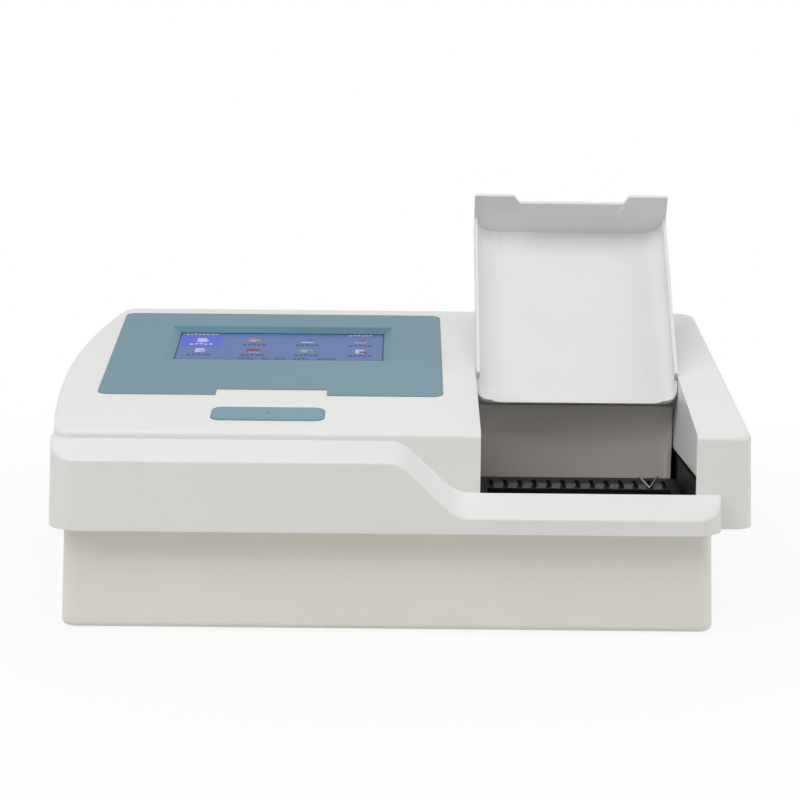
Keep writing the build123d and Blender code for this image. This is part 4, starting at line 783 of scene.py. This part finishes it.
class READER_OT_stage(Operator):
    """Camera, soft lights, white surroundings and floor"""
    bl_idname = "reader.stage"
    bl_label = "Set the Stage"

    def execute(self, context):
        s = context.scene.reader_stage
        camera = bpy.data.objects.new("camera", bpy.data.cameras.new("camera"))
        context.scene.collection.objects.link(camera)
        camera.data.lens = s.lens
        camera.data.sensor_width = SENSOR_WIDTH
        camera.data.clip_end = VIEW_END
        camera.matrix_world = (Matrix.Translation(s.eye) @ Matrix.Rotation(pi / 2 - s.pitch, 4, "X")
                               @ Matrix.Rotation(s.roll, 4, "Z"))
        context.scene.camera = camera
        context.scene.view_settings.view_transform = "Standard"
        for name, where, size, power, share in LAMPS:
            self.lamp(context, name, Vector(where), size, share * getattr(s, power))
        self.surroundings(context, s.sky)
        self.floor(context, s)
        return {"FINISHED"}

    def lamp(self, context, name, where, size, watts):
        data = bpy.data.lights.new(name, "AREA")
        data.size, data.energy = size, watts
        lamp = bpy.data.objects.new(name, data)
        context.scene.collection.objects.link(lamp)
        lamp.matrix_world = facing(where, where - LAMP_AIM)

    def seen(self, tree):
        """1 for rays that show a backdrop: from the camera, off gloss and through glass."""
        path = tree.nodes.new("ShaderNodeLightPath")
        total = path.outputs["Is Camera Ray"]
        for name in ("Is Glossy Ray", "Is Transmission Ray"):
            add = tree.nodes.new("ShaderNodeMath")
            add.operation = "MAXIMUM"
            tree.links.new(total, add.inputs[0])
            tree.links.new(path.outputs[name], add.inputs[1])
            total = add.outputs[0]
        return total

    def surroundings(self, context, strength):
        """Even light for the object, and white behind it."""
        world = bpy.data.worlds.new("studio")
        context.scene.world = world
        world.use_nodes = True
        tree = world.node_tree
        tree.nodes.clear()
        out = tree.nodes.new("ShaderNodeOutputWorld")
        mix = tree.nodes.new("ShaderNodeMixShader")
        even, white = (tree.nodes.new("ShaderNodeBackground") for _ in range(2))
        for node, power in ((even, strength), (white, 1)):
            node.inputs["Color"].default_value = (1, 1, 1, 1)
            node.inputs["Strength"].default_value = power
        tree.links.new(self.seen(tree), mix.inputs[0])
        tree.links.new(even.outputs[0], mix.inputs[1])
        tree.links.new(white.outputs[0], mix.inputs[2])
        tree.links.new(mix.outputs[0], out.inputs["Surface"])

    def floor(self, context, s):
        """Floor that takes soft shadows near the object and turns white away from it."""
        shape = bmesh.new()
        bmesh.ops.create_grid(shape, x_segments=2, y_segments=2, size=FLOOR_REACH)
        mesh = bpy.data.meshes.new("floor")
        shape.to_mesh(mesh)
        shape.free()
        floor = bpy.data.objects.new("floor", mesh)
        context.scene.collection.objects.link(floor)
        finish = Finish("floor_white", tuple(s.floor), 0.9)
        finish.tint(finish.noise(0.4), 0.995, 1.005)
        glow = finish.add("ShaderNodeEmission")
        glow.inputs["Color"].default_value = (1, 1, 1, 1)
        mix = finish.add("ShaderNodeMixShader")
        share = finish.add("ShaderNodeMath", operation="MULTIPLY")
        away = finish.add("ShaderNodeVectorMath", operation="LENGTH")
        finish.join(finish.place, away.inputs[0])
        fade = finish.add("ShaderNodeMapRange")
        finish.join(away.outputs["Value"], fade.inputs["Value"])
        for name, value in FLOOR_GLOW:
            fade.inputs[name].default_value = value
        finish.join(self.seen(finish.tree), share.inputs[0])
        finish.join(fade.outputs["Result"], share.inputs[1])
        finish.join(share.outputs[0], mix.inputs[0])
        finish.join(finish.shader.outputs["BSDF"], mix.inputs[1])
        finish.join(glow.outputs["Emission"], mix.inputs[2])
        finish.join(mix.outputs[0], finish.out.inputs["Surface"])
        mesh.materials.append(finish.material)


STEPS = (READER_OT_stage, READER_OT_housing, READER_OT_lid, READER_OT_display, READER_OT_menu,
         READER_OT_well, READER_OT_carrier, READER_OT_drive, READER_OT_optics, READER_OT_electronics,
         READER_OT_rear)
GROUPS = {"reader_finishes": ReaderFinishes, "reader_lid": ReaderLid, "reader_display": ReaderDisplay,
          "reader_stage": ReaderStage}


class READER_PT_panel(Panel):
    """Lists the reader's sizes, colours and steps"""
    bl_idname = "READER_PT_panel"
    bl_label = "Plate Reader"
    bl_space_type = "VIEW_3D"
    bl_region_type = "UI"
    bl_category = "Plate Reader"

    def draw(self, context):
        for name, kind in GROUPS.items():
            box = self.layout.box()
            for setting in kind.__annotations__:
                box.prop(getattr(context.scene, name), setting)
        for step in STEPS:
            self.layout.operator(step.bl_idname)


def register():
    for kind in (*GROUPS.values(), *STEPS, READER_PT_panel):
        bpy.utils.register_class(kind)
    for name, kind in GROUPS.items():
        setattr(bpy.types.Scene, name, PointerProperty(type=kind))


def unregister():
    for name in GROUPS:
        delattr(bpy.types.Scene, name)
    for kind in (READER_PT_panel, *reversed(STEPS), *GROUPS.values()):
        bpy.utils.unregister_class(kind)


def main():
    register()
    bpy.ops.reader.stage()
    bpy.ops.reader.housing()
    bpy.ops.reader.lid()
    bpy.ops.reader.display()
    bpy.ops.reader.menu()
    bpy.ops.reader.well()
    bpy.ops.reader.carrier()
    bpy.ops.reader.drive()
    bpy.ops.reader.optics()
    bpy.ops.reader.electronics()
    bpy.ops.reader.rear()
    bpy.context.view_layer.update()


if __name__ == "__main__":
    main()
